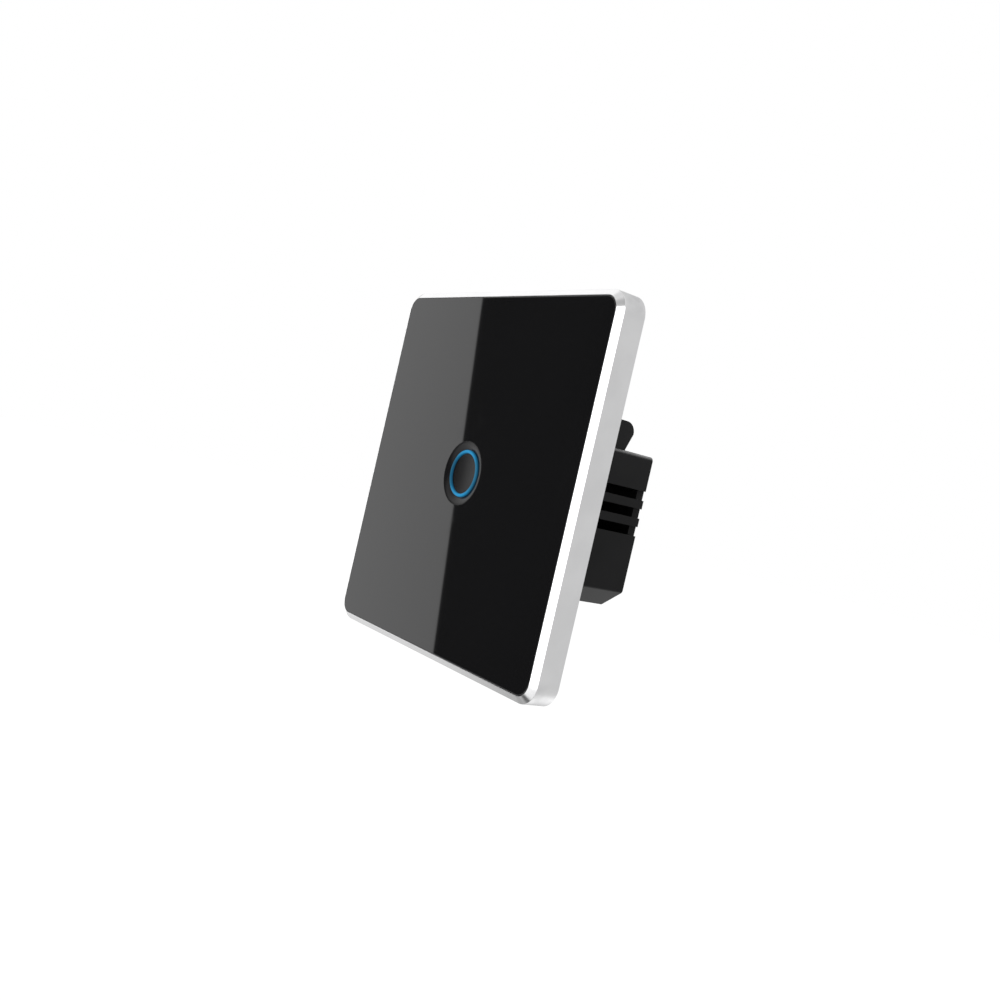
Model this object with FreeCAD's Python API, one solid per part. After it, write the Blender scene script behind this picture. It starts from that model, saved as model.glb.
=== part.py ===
import FreeCAD, Part
import math
import os
from FreeCAD import Vector

os.makedirs("parts", exist_ok=True)

# Touch switch for a water heater, seen from the room: X to the right, Y into the wall, Z up.
# The origin is the middle of the two box screws, on the wall. Sizes are in millimetres.

# Clearances
FIT = 0.05            # pieces that push together
SLIP = 0.15           # pieces that drop into one another
AIR = 0.3             # pieces that pass each other or nearly touch
CORNER = 0.6          # free room between parts that stand side by side on a board

# Glass and its silver frame
plate_side = 86.0
plate_corner = 5.0
bevel_width = 1.45
bevel_depth = 1.2
bevel_land = 0.1
glass_thick = 3.0
glass_arris = 0.2
tape_thick = 0.3
lip_width = 2.5
lip_thick = 1.2
frame_edge_radius = 0.2
pry_width = 8.0
pry_depth = 1.2

# Finger dish and ring of light in the glass
dish_radius = 7.5
dish_depth = 0.6
dish_bowl = 0.25
ring_radius = 5.55
ring_width = 0.85
ring_thick = 0.4
ring_rise = 0.45         # the bead stands this proud of the dish's floor
ring_chamfer = 0.25

# Carrier behind the glass, with its pegs
carrier_thick = 1.8
carrier_skirt = 1.4
skirt_clear = 0.4
peg_radius = 1.6
peg_reach = 3.2
peg_x = 8.0
bush_wall = 0.75
bush_length = 4.8
bush_collar = 0.4
bush_collar_thick = 0.8
box_head_width = 8.4

# Steel mounting plate
plate_thick = 1.2
plate_edge_gap = 0.8
mount_corner = 4.0
slot_inset = 12.85       # from the plate's sides, which puts the box screws 60.3 apart
slot_width = 4.2
slot_length = 9.0
pad_side = 25.6
pad_corner = 3.0

# Black housing in the wall box
body_half_width = 22.0
body_half_height = 22.9
body_top = 13.4
body_depth = 30.1
wall = 2.0
corner_cut_x = 6.2
corner_cut_z = 4.2
top_radius = 1.0
edge_radius = 0.8        # along the cut lower corners
rear_chamfer = 0.4
vent_count = 3
vent_height = 2.2
vent_fin = 2.0
vent_notch = 1.0
vent_start = 11.0
gate_radius = 1.6
gate_depth = 0.3
cover_thick = 1.5
rim_height = 1.2
rim_wall = 1.2

# Screws from the plate into the housing
screw_inset_x = 4.3
screw_inset_z = 5.2
screw_radius = 1.1
screw_head_radius = 2.3
screw_length = 7.0
boss_wall = 1.35
boss_end = 0.4

# Terminal bay: four captive screws that lift clamps
terminal_count = 4
fin_thick = 1.4
fin_overhang = 1.4
fin_setback = 0.2
fin_round = 2.6
fin_lean = 1.5
front_block_depth = 7.3
block_wall_front = 0.8
block_wall_rear = 0.8
block_ledge = 0.8
block_bottom = 1.2
block_roof = 1.8
block_chamfer = 1.0
clamp_width = 6.6
clamp_height = 3.0
clamp_side = 0.7
clamp_front = 1.0
clamp_rear = 1.2
wire_room = 4.0
wire_bore_radius = 1.95
wire_funnel = 0.5
thread_radius = 1.75
thread_pitch = 0.6
clamp_turns = 4
head_radius = 2.3
head_thick = 1.6
driver_slot = 0.7
driver_slot_depth = 0.8
busbar_width = 4.2
busbar_thick = 0.8
busbar_drop = 1.0
pin_width = 1.6

# Touch board and what stands on it
board_gap = 1.5
touch_board_thick = 1.2
touch_board_height = 27.2
board_post_width = 3.0
board_post_inset = 2.6
board_post_z = 10.5
guide_margin = 0.2
guide_above_led = 0.2
shroud_wall = 1.15
window_room = 1.0
led_count = 8
led_size = 1.0
led_height = 0.6
spring_radius = 2.4
spring_wire = 0.5
spring_turns = 3
spring_sides = 6
chip_width = 5.0
chip_height = 4.0
chip_thick = 1.5
chip_x = -9.0
chip_z = 6.0
radio_width = 16.0
radio_height = 12.0
radio_board_thick = 0.8
shield_inset = 1.5
shield_height = 1.6
shield_skin = 0.25
radio_x = 5.0
radio_z = 5.0
socket_width = 12.7
socket_depth = 2.5
socket_height = 2.2
header_pins = 5
header_pitch = 2.54
header_pin = 0.64
header_strip = 1.4
header_z = -10.6

# Power board and the parts that stand on it
board_spacing = 3.8
power_board_thick = 1.6
rib_width = 1.9
rib_height = 2.5
leg_width = 1.5
leg_height = 3.0
relay_width = 15.0
relay_height = 18.5
relay_tall = 15.4
relay_skin = 0.8
relay_base_thick = 1.5
coil_radius = 4.4
coil_length = 8.2
coil_sunk = 0.5
flange_thick = 0.8
core_radius = 2.0
pole_rise = 0.3
yoke_thick = 1.2
yoke_width = 9.0
armature_gap = 0.7
armature_thick = 1.0
armature_width = 8.0
blade_thick = 0.3
blade_width = 3.0
contact_radius = 1.2
contact_thick = 0.8
contact_reach = 3.2
choke_radius = 2.0
choke_length = 8.0
choke_flange = 0.8
choke_neck = 0.5
core_side_room = 3.0
core_height = 12.0
core_tall = 11.0
core_post = 3.0
winding_fill = 0.7       # share of each window of the core
capacitor_radius = 4.0
capacitor_tall = 12.0
suppressor_width = 13.0
suppressor_height = 4.6
suppressor_tall = 9.0
varistor_radius = 4.0
varistor_thick = 3.4
fuse_radius = 1.9
fuse_tall = 7.5
fuse_drop = 3.0

# Depths, front to back
frame_depth = glass_thick + tape_thick + carrier_thick + AIR + plate_thick
glass_front = -frame_depth
glass_rear = glass_front + glass_thick
tape_rear = glass_rear + tape_thick
lip_rear = glass_rear + lip_thick
carrier_rear = tape_rear + carrier_thick
plate_front = -plate_thick
floor_y = body_depth - wall
touch_front = cover_thick + board_gap
touch_rear = touch_front + touch_board_thick
power_front = touch_rear + board_spacing
power_rear = power_front + power_board_thick

# Sizes across the front that follow from the frame
mouth = plate_side - 2 * (bevel_width + bevel_land)
mouth_corner = plate_corner - bevel_width - bevel_land
glass_side = mouth - 2 * FIT
glass_corner = mouth_corner - FIT
lip_opening = mouth - 2 * lip_width
lip_corner = 2.0
carrier_side = mouth - 2 * SLIP
skirt_inner = carrier_side - 2 * carrier_skirt
steel_side = skirt_inner - 2 * plate_edge_gap
slot_x = plate_side / 2 - slot_inset

# Ring of light, counted outwards from the spring
ring_inner = ring_radius - ring_width
ring_middle = (ring_radius + ring_inner) / 2
dish_flat_outer = ring_radius + guide_margin
dish_flat_inner = ring_inner - guide_margin
guide_outer = ring_radius + guide_margin
guide_inner = ring_inner - guide_margin
shroud_inner = guide_outer + FIT
shroud_outer = shroud_inner + shroud_wall
window_radius = shroud_outer + window_room
light_front = glass_rear + AIR

# Pegs and their bushes lie just outside the housing
bush_side = 2 * (peg_radius + FIT + bush_wall)
collar_side = bush_side + 2 * bush_collar
peg_z = body_half_height + collar_side / 2 + AIR

# Housing screws and bosses
boss_radius = screw_radius + FIT + boss_wall
screw_x = body_half_width - screw_inset_x
screw_z = body_half_height - screw_inset_z
screw_end = plate_front + screw_length
head_height = screw_head_radius - screw_radius

# Terminal cells, front to back with the clamp open
bay_half_width = body_half_width - top_radius - fin_setback
cell_pitch = (2 * bay_half_width - fin_thick) / terminal_count
block_width = cell_pitch - fin_thick - 2 * SLIP
cage_room_front = front_block_depth + block_wall_front
clamp_y = cage_room_front + AIR
bar_front = clamp_y + clamp_front + wire_room
bar_rear = bar_front + busbar_thick
clamp_rear_front = bar_rear + AIR
clamp_end = clamp_rear_front + clamp_rear
clamp_travel = clamp_turns * thread_pitch
cage_room_rear = clamp_end + clamp_travel + AIR
head_front = cage_room_rear + block_ledge + 2 * FIT
head_rear = head_front + head_thick
pocket_rear = head_rear + 2 * FIT
block_rear = pocket_rear + block_wall_rear
wire_y = clamp_y + clamp_front + wire_room / 2
clamp_z = body_top + block_bottom + AIR
clamp_top = clamp_z + clamp_height
block_top = clamp_top + AIR + block_roof
terminal_z = clamp_z + clamp_height / 2
fin_rear = block_rear + fin_overhang
inner_top = body_top - wall
tab_z = inner_top - busbar_drop - busbar_thick

# Touch board between the legs that hold the power board
inner_half_width = body_half_width - wall
leg_x = inner_half_width - SLIP - rim_wall - leg_width / 2
touch_board_width = 2 * (leg_x - leg_width / 2 - CORNER)
board_post_x = touch_board_width / 2 - board_post_inset

# Places on the power board, worked outwards from the walls and bosses
rib_inner = inner_half_width - rib_width
boss_top = -screw_z + boss_radius
relay_left = -rib_inner + CORNER
relay_bottom = boss_top + CORNER
relay_top = relay_bottom + relay_height
relay_right = relay_left + relay_width
relay_x = relay_left + relay_width / 2
choke_x = relay_right + CORNER + choke_radius
core_left = choke_x + choke_radius + CORNER
core_width = rib_inner - core_side_room - core_left
core_x = core_left + core_width / 2
window_width = core_width / 2 - core_post
core_z = relay_bottom + core_height / 2
core_top = relay_bottom + core_height
choke_z = core_z
fuse_x = choke_x
fuse_z = relay_top - fuse_drop
capacitor_x = fuse_x + fuse_radius + CORNER + capacitor_radius
capacitor_z = core_top + CORNER + capacitor_radius
varistor_x = capacitor_x + capacitor_radius + CORNER + varistor_thick / 2
varistor_z = core_top + CORNER + varistor_radius
suppressor_x = -screw_x + boss_radius + CORNER + suppressor_width / 2
suppressor_z = relay_bottom - CORNER - suppressor_height / 2


def box(x0, x1, y0, y1, z0, z1):
    return Part.makeBox(x1 - x0, y1 - y0, z1 - z0, Vector(x0, y0, z0))


def block(width, y0, y1, height, x=0.0, z=0.0):
    return box(x - width / 2, x + width / 2, y0, y1, z - height / 2, z + height / 2)


def rod(radius, y0, y1, x=0.0, z=0.0):
    return Part.makeCylinder(radius, y1 - y0, Vector(x, y0, z), Vector(0, 1, 0))


def cone(radius0, radius1, y0, y1, x=0.0, z=0.0):
    return Part.makeCone(radius0, radius1, y1 - y0, Vector(x, y0, z), Vector(0, 1, 0))


def tube(outer, inner, y0, y1, x=0.0, z=0.0):
    return rod(outer, y0, y1, x, z).cut(rod(inner, y0, y1, x, z))


def edges_along_y(shape):
    return [edge for edge in shape.Edges if abs(edge.tangentAt(edge.FirstParameter).y) > 0.99]


def rounded_slab(width, height, radius, y0, y1):
    slab = block(width, y0, y1, height)
    return slab.makeFillet(radius, edges_along_y(slab))


def square_outline(side, radius, y):
    """Closed wire of a square with round corners, at one depth."""
    half = side / 2
    flat = half - radius
    bend = flat + radius * math.sqrt(0.5)
    edges = []
    for quarter in range(4):
        turn = math.radians(90 * quarter)

        def at(x, z):
            return Vector(x * math.cos(turn) - z * math.sin(turn), y, x * math.sin(turn) + z * math.cos(turn))

        edges.append(Part.LineSegment(at(half, -flat), at(half, flat)).toShape())
        edges.append(Part.Arc(at(half, flat), at(bend, bend), at(flat, half)).toShape())
    return Part.Wire(edges)


def prism(points, y0, y1):
    """Solid of a polygon drawn in X and Z, pushed from one depth to another."""
    corners = [Vector(x, y0, z) for x, z in points]
    outline = Part.makePolygon(corners + corners[:1])
    return Part.Face(outline).extrude(Vector(0, y1 - y0, 0))


def cut_by(shape, tools):
    for tool in tools:
        shape = shape.cut(tool)
    return shape


def save(name, *solids):
    shape = solids[0] if len(solids) == 1 else Part.makeCompound(list(solids))
    shape.exportStep("parts/" + name + ".step")


# Body outline: an octagon whose upper corners are only there in the shallow front block
def body_outline(inset, top):
    """Corner points of the housing, drawn in by a wall, with its flat top at the given height."""
    half_width = body_half_width - inset
    half_height = body_half_height - inset
    slant = math.hypot(corner_cut_x, corner_cut_z)
    cut_x = corner_cut_x - inset - inset * (corner_cut_x - slant) / corner_cut_z
    cut_z = corner_cut_z - inset - inset * (corner_cut_z - slant) / corner_cut_x
    lower = [
        (-half_width, cut_z - half_height),
        (cut_x - half_width, -half_height),
        (half_width - cut_x, -half_height),
        (half_width, cut_z - half_height),
    ]
    if top < body_half_height - corner_cut_z - inset:
        return lower + [(half_width, top), (-half_width, top)]
    return lower + [(x, -z) for x, z in reversed(lower)]


def softened_prism(points, y0, y1):
    """Prism of the body whose edges at the cut lower corners are rounded."""
    shape = prism(points, y0, y1)
    low = corner_cut_z + 0.01 - body_half_height
    return shape.makeFillet(edge_radius, [edge for edge in edges_along_y(shape) if edge.BoundBox.ZMax < low])


def screw_places():
    return [(x, z) for x in (-screw_x, screw_x) for z in (-screw_z, screw_z)]


def peg_places():
    return [(x, z) for x in (-peg_x, peg_x) for z in (-peg_z, peg_z)]


def cell_places():
    first = -(terminal_count - 1) / 2 * cell_pitch
    return [first + cell * cell_pitch for cell in range(terminal_count)]


# Glass and frame
def dish_cutter():
    """Shallow dish with a flat floor, on which the ring of light lies."""
    floor = glass_front + dish_depth
    slope = (dish_radius + dish_flat_outer) / 2
    edges = [
        Part.LineSegment(Vector(0, glass_front - 1, 0), Vector(dish_radius, glass_front - 1, 0)),
        Part.LineSegment(Vector(dish_radius, glass_front - 1, 0), Vector(dish_radius, glass_front, 0)),
        Part.Arc(Vector(dish_radius, glass_front, 0),
                 Vector(slope, glass_front + 0.7 * dish_depth, 0),
                 Vector(dish_flat_outer, floor, 0)),
        Part.LineSegment(Vector(dish_flat_outer, floor, 0), Vector(0, floor, 0)),
        Part.LineSegment(Vector(0, floor, 0), Vector(0, glass_front - 1, 0)),
    ]
    profile = Part.Face(Part.Wire([edge.toShape() for edge in edges]))
    return profile.revolve(Vector(0, 0, 0), Vector(0, 1, 0), 360)


def bowl_cutter():
    """Cap of a large ball: the hollow for the fingertip inside the ring."""
    floor = glass_front + dish_depth
    ball_radius = (dish_flat_inner ** 2 + dish_bowl ** 2) / (2 * dish_bowl)
    ball = Part.makeSphere(ball_radius, Vector(0, floor + dish_bowl - ball_radius, 0))
    return ball.common(rod(dish_flat_inner, floor - dish_bowl, floor + 2 * dish_bowl))


def glass_panel():
    glass = rounded_slab(glass_side, glass_side, glass_corner, glass_front, glass_rear)
    rim = [edge for edge in glass.Edges if edge.BoundBox.YMax < glass_front + 0.01]
    glass = glass.makeChamfer(glass_arris, rim)
    floor = glass_front + dish_depth
    groove = tube(ring_radius, ring_inner, floor, floor + ring_thick)
    return cut_by(glass, [dish_cutter(), bowl_cutter(), groove])


def ring_diffuser():
    """Bead of light pressed into the dish's groove, with its two front edges taken off."""
    floor = glass_front + dish_depth
    ring = tube(ring_radius, ring_inner, floor - ring_rise, floor + ring_thick)
    front = [edge for edge in ring.Edges if edge.BoundBox.YMax < floor - ring_rise + 0.01]
    return ring.makeChamfer(ring_chamfer, front)


def head_windows(y0, y1):
    """Room for the heads of the two box screws, wherever they sit in their slots."""
    length = slot_length - slot_width + box_head_width
    return [block(length, y0, y1, box_head_width, x) for x in (-slot_x, slot_x)]


def glass_tape():
    tape = rounded_slab(lip_opening - 2 * SLIP, lip_opening - 2 * SLIP, lip_corner, glass_rear, tape_rear)
    return cut_by(tape, [rod(window_radius, glass_rear, tape_rear)] + head_windows(glass_rear, tape_rear))


def trim_frame():
    """Silver frame: bevelled front, straight sides, and a lip that is trapped behind the glass."""
    inner_front = mouth + 2 * bevel_land
    nose = Part.makeLoft([
        square_outline(inner_front, mouth_corner + bevel_land, glass_front),
        square_outline(plate_side, plate_corner, glass_front + bevel_depth),
    ], True, True)
    sides = rounded_slab(plate_side, plate_side, plate_corner, glass_front + bevel_depth, 0)
    frame = nose.fuse(sides).removeSplitter()
    turn = [edge for edge in frame.Edges
            if abs(edge.BoundBox.YMin - glass_front - bevel_depth) < 0.01
            and abs(edge.BoundBox.YMax - glass_front - bevel_depth) < 0.01]
    frame = frame.makeFillet(frame_edge_radius, turn)
    front_pocket = rounded_slab(mouth, mouth, mouth_corner, glass_front, glass_rear)
    rear_pocket = rounded_slab(mouth, mouth, mouth_corner, lip_rear, 0)
    opening = rounded_slab(lip_opening, lip_opening, lip_corner, glass_front, 0)
    pry_notch = box(-pry_width / 2, pry_width / 2, -pry_depth, 0, -plate_side, lip_width - mouth / 2)
    return cut_by(frame, [front_pocket, rear_pocket, opening, pry_notch])


def panel_carrier():
    """Moulded tray taped to the glass, with four pegs that push into the bushes."""
    core_side = lip_opening - 2 * SLIP
    core = rounded_slab(core_side, core_side, lip_corner, tape_rear, carrier_rear)
    rim = rounded_slab(carrier_side, carrier_side, mouth_corner, lip_rear, carrier_rear)
    skirt = rounded_slab(carrier_side, carrier_side, mouth_corner, carrier_rear, -skirt_clear)
    hollow = rounded_slab(skirt_inner, skirt_inner, mouth_corner - carrier_skirt, carrier_rear, 0)
    skirt = skirt.cut(hollow)
    pry_notch = block(pry_width, carrier_rear, 0, carrier_side, 0, -skirt_inner / 2 - carrier_side / 2)
    tray = core.fuse([rim, skirt.cut(pry_notch)])
    for x, z in peg_places():
        tray = tray.fuse(rod(peg_radius, carrier_rear, peg_reach, x, z))
    tray = tray.removeSplitter().cut(rod(window_radius, tape_rear, carrier_rear))
    return cut_by(tray, head_windows(tape_rear, carrier_rear))


# Mounting plate and its fixings
def screw_sink(x, z, clearance):
    """Cone of a countersunk head, and its shank, from the plate's face."""
    head_end = plate_front + head_height
    head = cone(screw_head_radius + clearance, screw_radius + clearance, plate_front, head_end, x, z)
    return head.fuse(rod(screw_radius + clearance, head_end, screw_end, x, z))


def mounting_plate():
    plate = rounded_slab(steel_side, steel_side, mount_corner, plate_front, 0)
    window = rounded_slab(pad_side + 2 * SLIP, pad_side + 2 * SLIP, pad_corner + SLIP, plate_front, 0)
    plate = plate.cut(window)
    for x in (-slot_x, slot_x):
        straight = block(slot_length - slot_width, plate_front, 0, slot_width, x, 0)
        plate = plate.cut(straight)
        for end in (-1, 1):
            plate = plate.cut(rod(slot_width / 2, plate_front, 0, x + end * (slot_length - slot_width) / 2))
    for x, z in screw_places():
        plate = plate.cut(screw_sink(x, z, FIT))
    for x, z in peg_places():
        hole = bush_side + 2 * FIT
        plate = plate.cut(block(hole, plate_front, 0, hole, x, z))
    return plate


def peg_bushes():
    """Square nylon bushes in the steel plate, each with a collar behind it."""
    bushes = []
    for x, z in peg_places():
        bush = block(bush_side, plate_front, plate_front + bush_length, bush_side, x, z)
        bush = bush.fuse(block(collar_side, 0, bush_collar_thick, collar_side, x, z))
        bushes.append(bush.cut(rod(peg_radius + FIT, plate_front, plate_front + bush_length, x, z)))
    return bushes


def housing_screws():
    return [screw_sink(x, z, 0) for x, z in screw_places()]


def front_cover():
    """Black deck that closes the housing; its pad fills the steel plate's window."""
    cover = softened_prism(body_outline(0, body_half_height), 0, cover_thick)
    pad = rounded_slab(pad_side, pad_side, pad_corner, plate_front, 0)
    cover = cover.fuse(pad)
    rim = prism(body_outline(wall + SLIP, body_half_height), cover_thick, cover_thick + rim_height)
    hollow = body_outline(wall + SLIP + rim_wall, body_half_height)
    rim = rim.cut(prism(hollow, cover_thick, cover_thick + rim_height))
    relief = 2 * (boss_radius + SLIP)
    for x, z in screw_places():
        rim = rim.cut(block(relief, cover_thick, cover_thick + rim_height, relief, x, z))
    cover = cover.fuse(rim)
    for x in (-board_post_x, board_post_x):
        for z in (-board_post_z, board_post_z):
            cover = cover.fuse(block(board_post_width, cover_thick, touch_front, board_post_width, x, z))
    for x in (-leg_x, leg_x):
        for z in (relay_bottom + leg_height, body_top - wall - leg_height):
            cover = cover.fuse(block(leg_width, cover_thick, power_front, leg_height, x, z))
    for x, z in screw_places():
        cover = cover.cut(rod(screw_radius + SLIP, 0, cover_thick, x, z))
    return cover.removeSplitter().cut(rod(shroud_outer + FIT, plate_front, cover_thick))


# Housing with its vents and terminal bay
def barrier_fin(x):
    """One barrier of the bay: a tab with a round upper corner whose rear edge leans back."""
    top = block_top
    waist = fin_rear - fin_lean
    bend = fin_round * (1 - math.sqrt(0.5))
    points = {
        "step_low": (front_block_depth - wall, body_top - wall),
        "step_high": (front_block_depth - wall, top),
        "round_start": (fin_rear - fin_round, top),
        "round_middle": (fin_rear - bend, top - bend),
        "round_end": (fin_rear, top - fin_round),
        "waist": (waist, body_top),
        "waist_low": (waist, body_top - wall),
    }
    at = {name: Vector(x, y, z) for name, (y, z) in points.items()}
    outline = [
        Part.LineSegment(at["step_low"], at["step_high"]),
        Part.LineSegment(at["step_high"], at["round_start"]),
        Part.Arc(at["round_start"], at["round_middle"], at["round_end"]),
        Part.LineSegment(at["round_end"], at["waist"]),
        Part.LineSegment(at["waist"], at["waist_low"]),
        Part.LineSegment(at["waist_low"], at["step_low"]),
    ]
    face = Part.Face(Part.Wire([edge.toShape() for edge in outline]))
    return face.extrude(Vector(fin_thick, 0, 0))


def housing_shell():
    front = softened_prism(body_outline(0, body_half_height), cover_thick, front_block_depth)
    deep = softened_prism(body_outline(0, body_top), cover_thick, body_depth)
    crown = [edge for edge in edges_along_y(deep) if edge.BoundBox.ZMin > body_top - 0.01]
    deep = deep.makeFillet(top_radius, crown)
    rear = [edge for edge in deep.Edges if edge.BoundBox.YMin > body_depth - 0.01]
    deep = deep.makeChamfer(rear_chamfer, rear)
    shell = front.fuse(deep)
    fins = [barrier_fin(-bay_half_width + cell * cell_pitch) for cell in range(terminal_count + 1)]
    shell = shell.fuse(fins).removeSplitter()
    front_room = prism(body_outline(wall, body_half_height), cover_thick, front_block_depth - wall)
    deep_room = prism(body_outline(wall, inner_top), cover_thick, floor_y)
    return shell.cut(front_room).cut(deep_room)


def vent_cutters():
    """Slots through both side walls that run on as shallow notches across the rear wall."""
    cutters = []
    pitch = vent_height + vent_fin
    first = -(vent_count - 1) / 2 * pitch
    for row in range(vent_count):
        z = first + row * pitch
        for side in (-1, 1):
            slot_middle = side * (body_half_width - wall / 2)
            notch_middle = side * body_half_width
            cutters.append(block(wall * 2, vent_start, floor_y, vent_height, slot_middle, z))
            cutters.append(block(vent_notch * 2, floor_y, body_depth, vent_height, notch_middle, z))
    return cutters


def rear_housing():
    shell = housing_shell()
    for x, z in screw_places():
        boss_end_y = (body_depth if z < 0 else front_block_depth) - wall / 2
        shell = shell.fuse(rod(boss_radius, cover_thick, boss_end_y, x, z))
        shell = shell.cut(rod(screw_radius + FIT, cover_thick, screw_end + boss_end, x, z))
    for side in (-1, 1):
        x = side * (rib_inner + inner_half_width + wall / 2) / 2
        rib_span = rib_width + wall / 2
        for z in (inner_top - rib_height / 2, relay_bottom + rib_height / 2):
            shell = shell.fuse(block(rib_span, power_rear, floor_y + wall / 2, rib_height, x, z))
    shell = cut_by(shell, vent_cutters())
    for x in cell_places():
        bar_room = busbar_width + 2 * SLIP
        slot = block(bar_room, bar_front - SLIP, bar_rear + SLIP, 2 * wall, x, body_top - wall)
        shell = shell.cut(slot)
    gate = rod(gate_radius, body_depth - gate_depth, body_depth, 0, (body_top - body_half_height) / 2)
    return shell.removeSplitter().cut(gate)


# Terminals
def terminal_block(x):
    """Insulating cell: a room for the clamp, a pocket that traps the screw head, and a wire mouth on top."""
    body = box(x - block_width / 2, x + block_width / 2, front_block_depth, block_rear, body_top, block_top)
    corner = [edge for edge in body.Edges
              if edge.BoundBox.YMin > block_rear - 0.01 and edge.BoundBox.ZMin > block_top - 0.01]
    body = body.makeChamfer(block_chamfer, corner)
    room_height = clamp_height + 2 * AIR
    room = block(clamp_width + 2 * AIR, cage_room_front, cage_room_rear, room_height, x, terminal_z)
    shank = rod(thread_radius + FIT, cage_room_rear, head_front, x, terminal_z)
    pocket_side = 2 * (head_radius + FIT)
    pocket = block(pocket_side, head_front - 2 * FIT, pocket_rear, pocket_side, x, terminal_z)
    driver = rod(head_radius - 2 * FIT, pocket_rear, block_rear, x, terminal_z)
    mouth_floor = clamp_top + AIR
    bore = Part.makeCylinder(wire_bore_radius, block_roof, Vector(x, wire_y, mouth_floor))
    funnel = Part.makeCone(wire_bore_radius, wire_bore_radius + wire_funnel, wire_funnel,
                           Vector(x, wire_y, block_top - wire_funnel))
    bar_middle = (bar_front + bar_rear) / 2
    bar_reach = busbar_thick / 2 + SLIP
    bar_slot = block(busbar_width + 2 * SLIP, bar_middle - bar_reach, bar_middle + bar_reach,
                     2 * block_bottom, x, body_top)
    return cut_by(body, [room, shank, pocket, driver, bore, funnel, bar_slot])


def terminal_clamp(x):
    """Brass cage, open at top and bottom, threaded for the screw in its rear wall."""
    cage = block(clamp_width, clamp_y, clamp_end, clamp_height, x, terminal_z)
    inside = block(clamp_width - 2 * clamp_side, clamp_y + clamp_front, clamp_rear_front,
                   2 * clamp_height, x, terminal_z)
    thread = rod(thread_radius + FIT, clamp_rear_front, clamp_end, x, terminal_z)
    return cage.cut(inside).cut(thread)


def terminal_screw(x):
    shank = rod(thread_radius, clamp_rear_front, head_front, x, terminal_z)
    head = rod(head_radius, head_front, head_rear, x, terminal_z)
    slot = block(2 * head_radius, head_rear - driver_slot_depth, head_rear, driver_slot, x, terminal_z)
    return shank.fuse(head).cut(slot)


def busbar(x):
    """Contact bar through the clamp, bent forward inside the housing to a tab in the power board."""
    upright = box(x - busbar_width / 2, x + busbar_width / 2, bar_front, bar_rear, tab_z, clamp_top)
    foot = box(x - busbar_width / 2, x + busbar_width / 2, power_rear, bar_rear, tab_z, tab_z + busbar_thick)
    tab = box(x - pin_width / 2, x + pin_width / 2, power_front, power_rear, tab_z, tab_z + busbar_thick)
    return upright.fuse([foot, tab]).removeSplitter()


# Touch side
def touch_board():
    return block(touch_board_width, touch_front, touch_rear, touch_board_height)


def arc_edge(start, apex, end):
    """Arc that leaves start towards apex and reaches end from it."""
    middle = (start + end) * 0.5
    rise = apex - middle
    half_chord = (end - start).Length / 2
    lean = math.atan2(rise.Length, half_chord)
    crest = middle + rise * (half_chord * math.tan(lean / 2) / rise.Length)
    return Part.Arc(start, crest, end).toShape()


def helix_path(radius, start_y, end_y, turns):
    """Coil along Y made of two tangent arcs for each half turn."""
    steps = 2 * turns
    climb = (end_y - start_y) / steps
    slope = climb / math.pi

    def place(step):
        angle = step * math.pi
        return Vector(radius * math.cos(angle), start_y + climb * step, radius * math.sin(angle))

    def heading(step):
        angle = step * math.pi
        way = Vector(-radius * math.sin(angle), slope, radius * math.cos(angle))
        return way.normalize()

    edges = []
    for step in range(steps):
        start, end = place(step), place(step + 1)
        way0, way1 = heading(step), heading(step + 1)
        chord = end - start
        both = way0 + way1
        spare = 2 * (1 - way0.dot(way1))
        along = chord.dot(both)
        reach = (math.sqrt(along * along + spare * chord.dot(chord)) - along) / spare
        apex0 = start + way0 * reach
        apex1 = end - way1 * reach
        middle = (apex0 + apex1) * 0.5
        edges.append(arc_edge(start, apex0, middle))
        edges.append(arc_edge(middle, apex1, end))
    return Part.Wire(edges)


def touch_spring():
    """Contact spring between the touch board and the back of the glass."""
    wire_radius = spring_wire / 2
    path = helix_path(spring_radius, touch_front - wire_radius - FIT, light_front + wire_radius, spring_turns)
    slope = (light_front - touch_front) / (spring_turns * 2 * math.pi)
    start = path.Vertexes[0].Point
    across = Vector(0, spring_radius, -slope).normalize()
    corners = []
    for corner in range(spring_sides + 1):
        angle = (corner + 0.5) * 2 * math.pi / spring_sides
        offset = Vector(wire_radius * math.cos(angle), 0, 0) + across * (wire_radius * math.sin(angle))
        corners.append(start + offset)
    gap = (touch_front - light_front - spring_wire) / spring_turns - spring_wire
    print("least gap between spring turns", round(gap, 3))
    return path.makePipeShell([Part.makePolygon(corners)], True, True)


def light_guide():
    led_front = touch_front - led_height
    return tube(guide_outer, guide_inner, light_front, led_front - guide_above_led)


def light_shroud():
    return tube(shroud_outer, shroud_inner, light_front, touch_front)


def status_leds():
    leds = []
    for number in range(led_count):
        led = block(led_size, touch_front - led_height, touch_front, led_size, ring_middle, 0)
        led.rotate(Vector(0, 0, 0), Vector(0, 1, 0), 360 * number / led_count)
        leds.append(led)
    return leds


def touch_chip():
    chip = block(chip_width, touch_rear, touch_rear + chip_thick, chip_height, chip_x, chip_z)
    top = [edge for edge in chip.Edges if edge.BoundBox.YMin > touch_rear + chip_thick - 0.01]
    return chip.makeChamfer(0.25, top)


def radio_board():
    return block(radio_width, touch_rear, touch_rear + radio_board_thick, radio_height, radio_x, radio_z)


def radio_shield():
    front = touch_rear + radio_board_thick
    width = radio_width - 2 * shield_inset
    height = radio_height - 2 * shield_inset
    can = block(width, front, front + shield_height, height, radio_x, radio_z)
    room = block(width - 2 * shield_skin, front, front + shield_height - shield_skin,
                 height - 2 * shield_skin, radio_x, radio_z)
    return can.cut(room)


def header_places():
    first = -(header_pins - 1) / 2 * header_pitch
    return [first + pin * header_pitch for pin in range(header_pins)]


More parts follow.
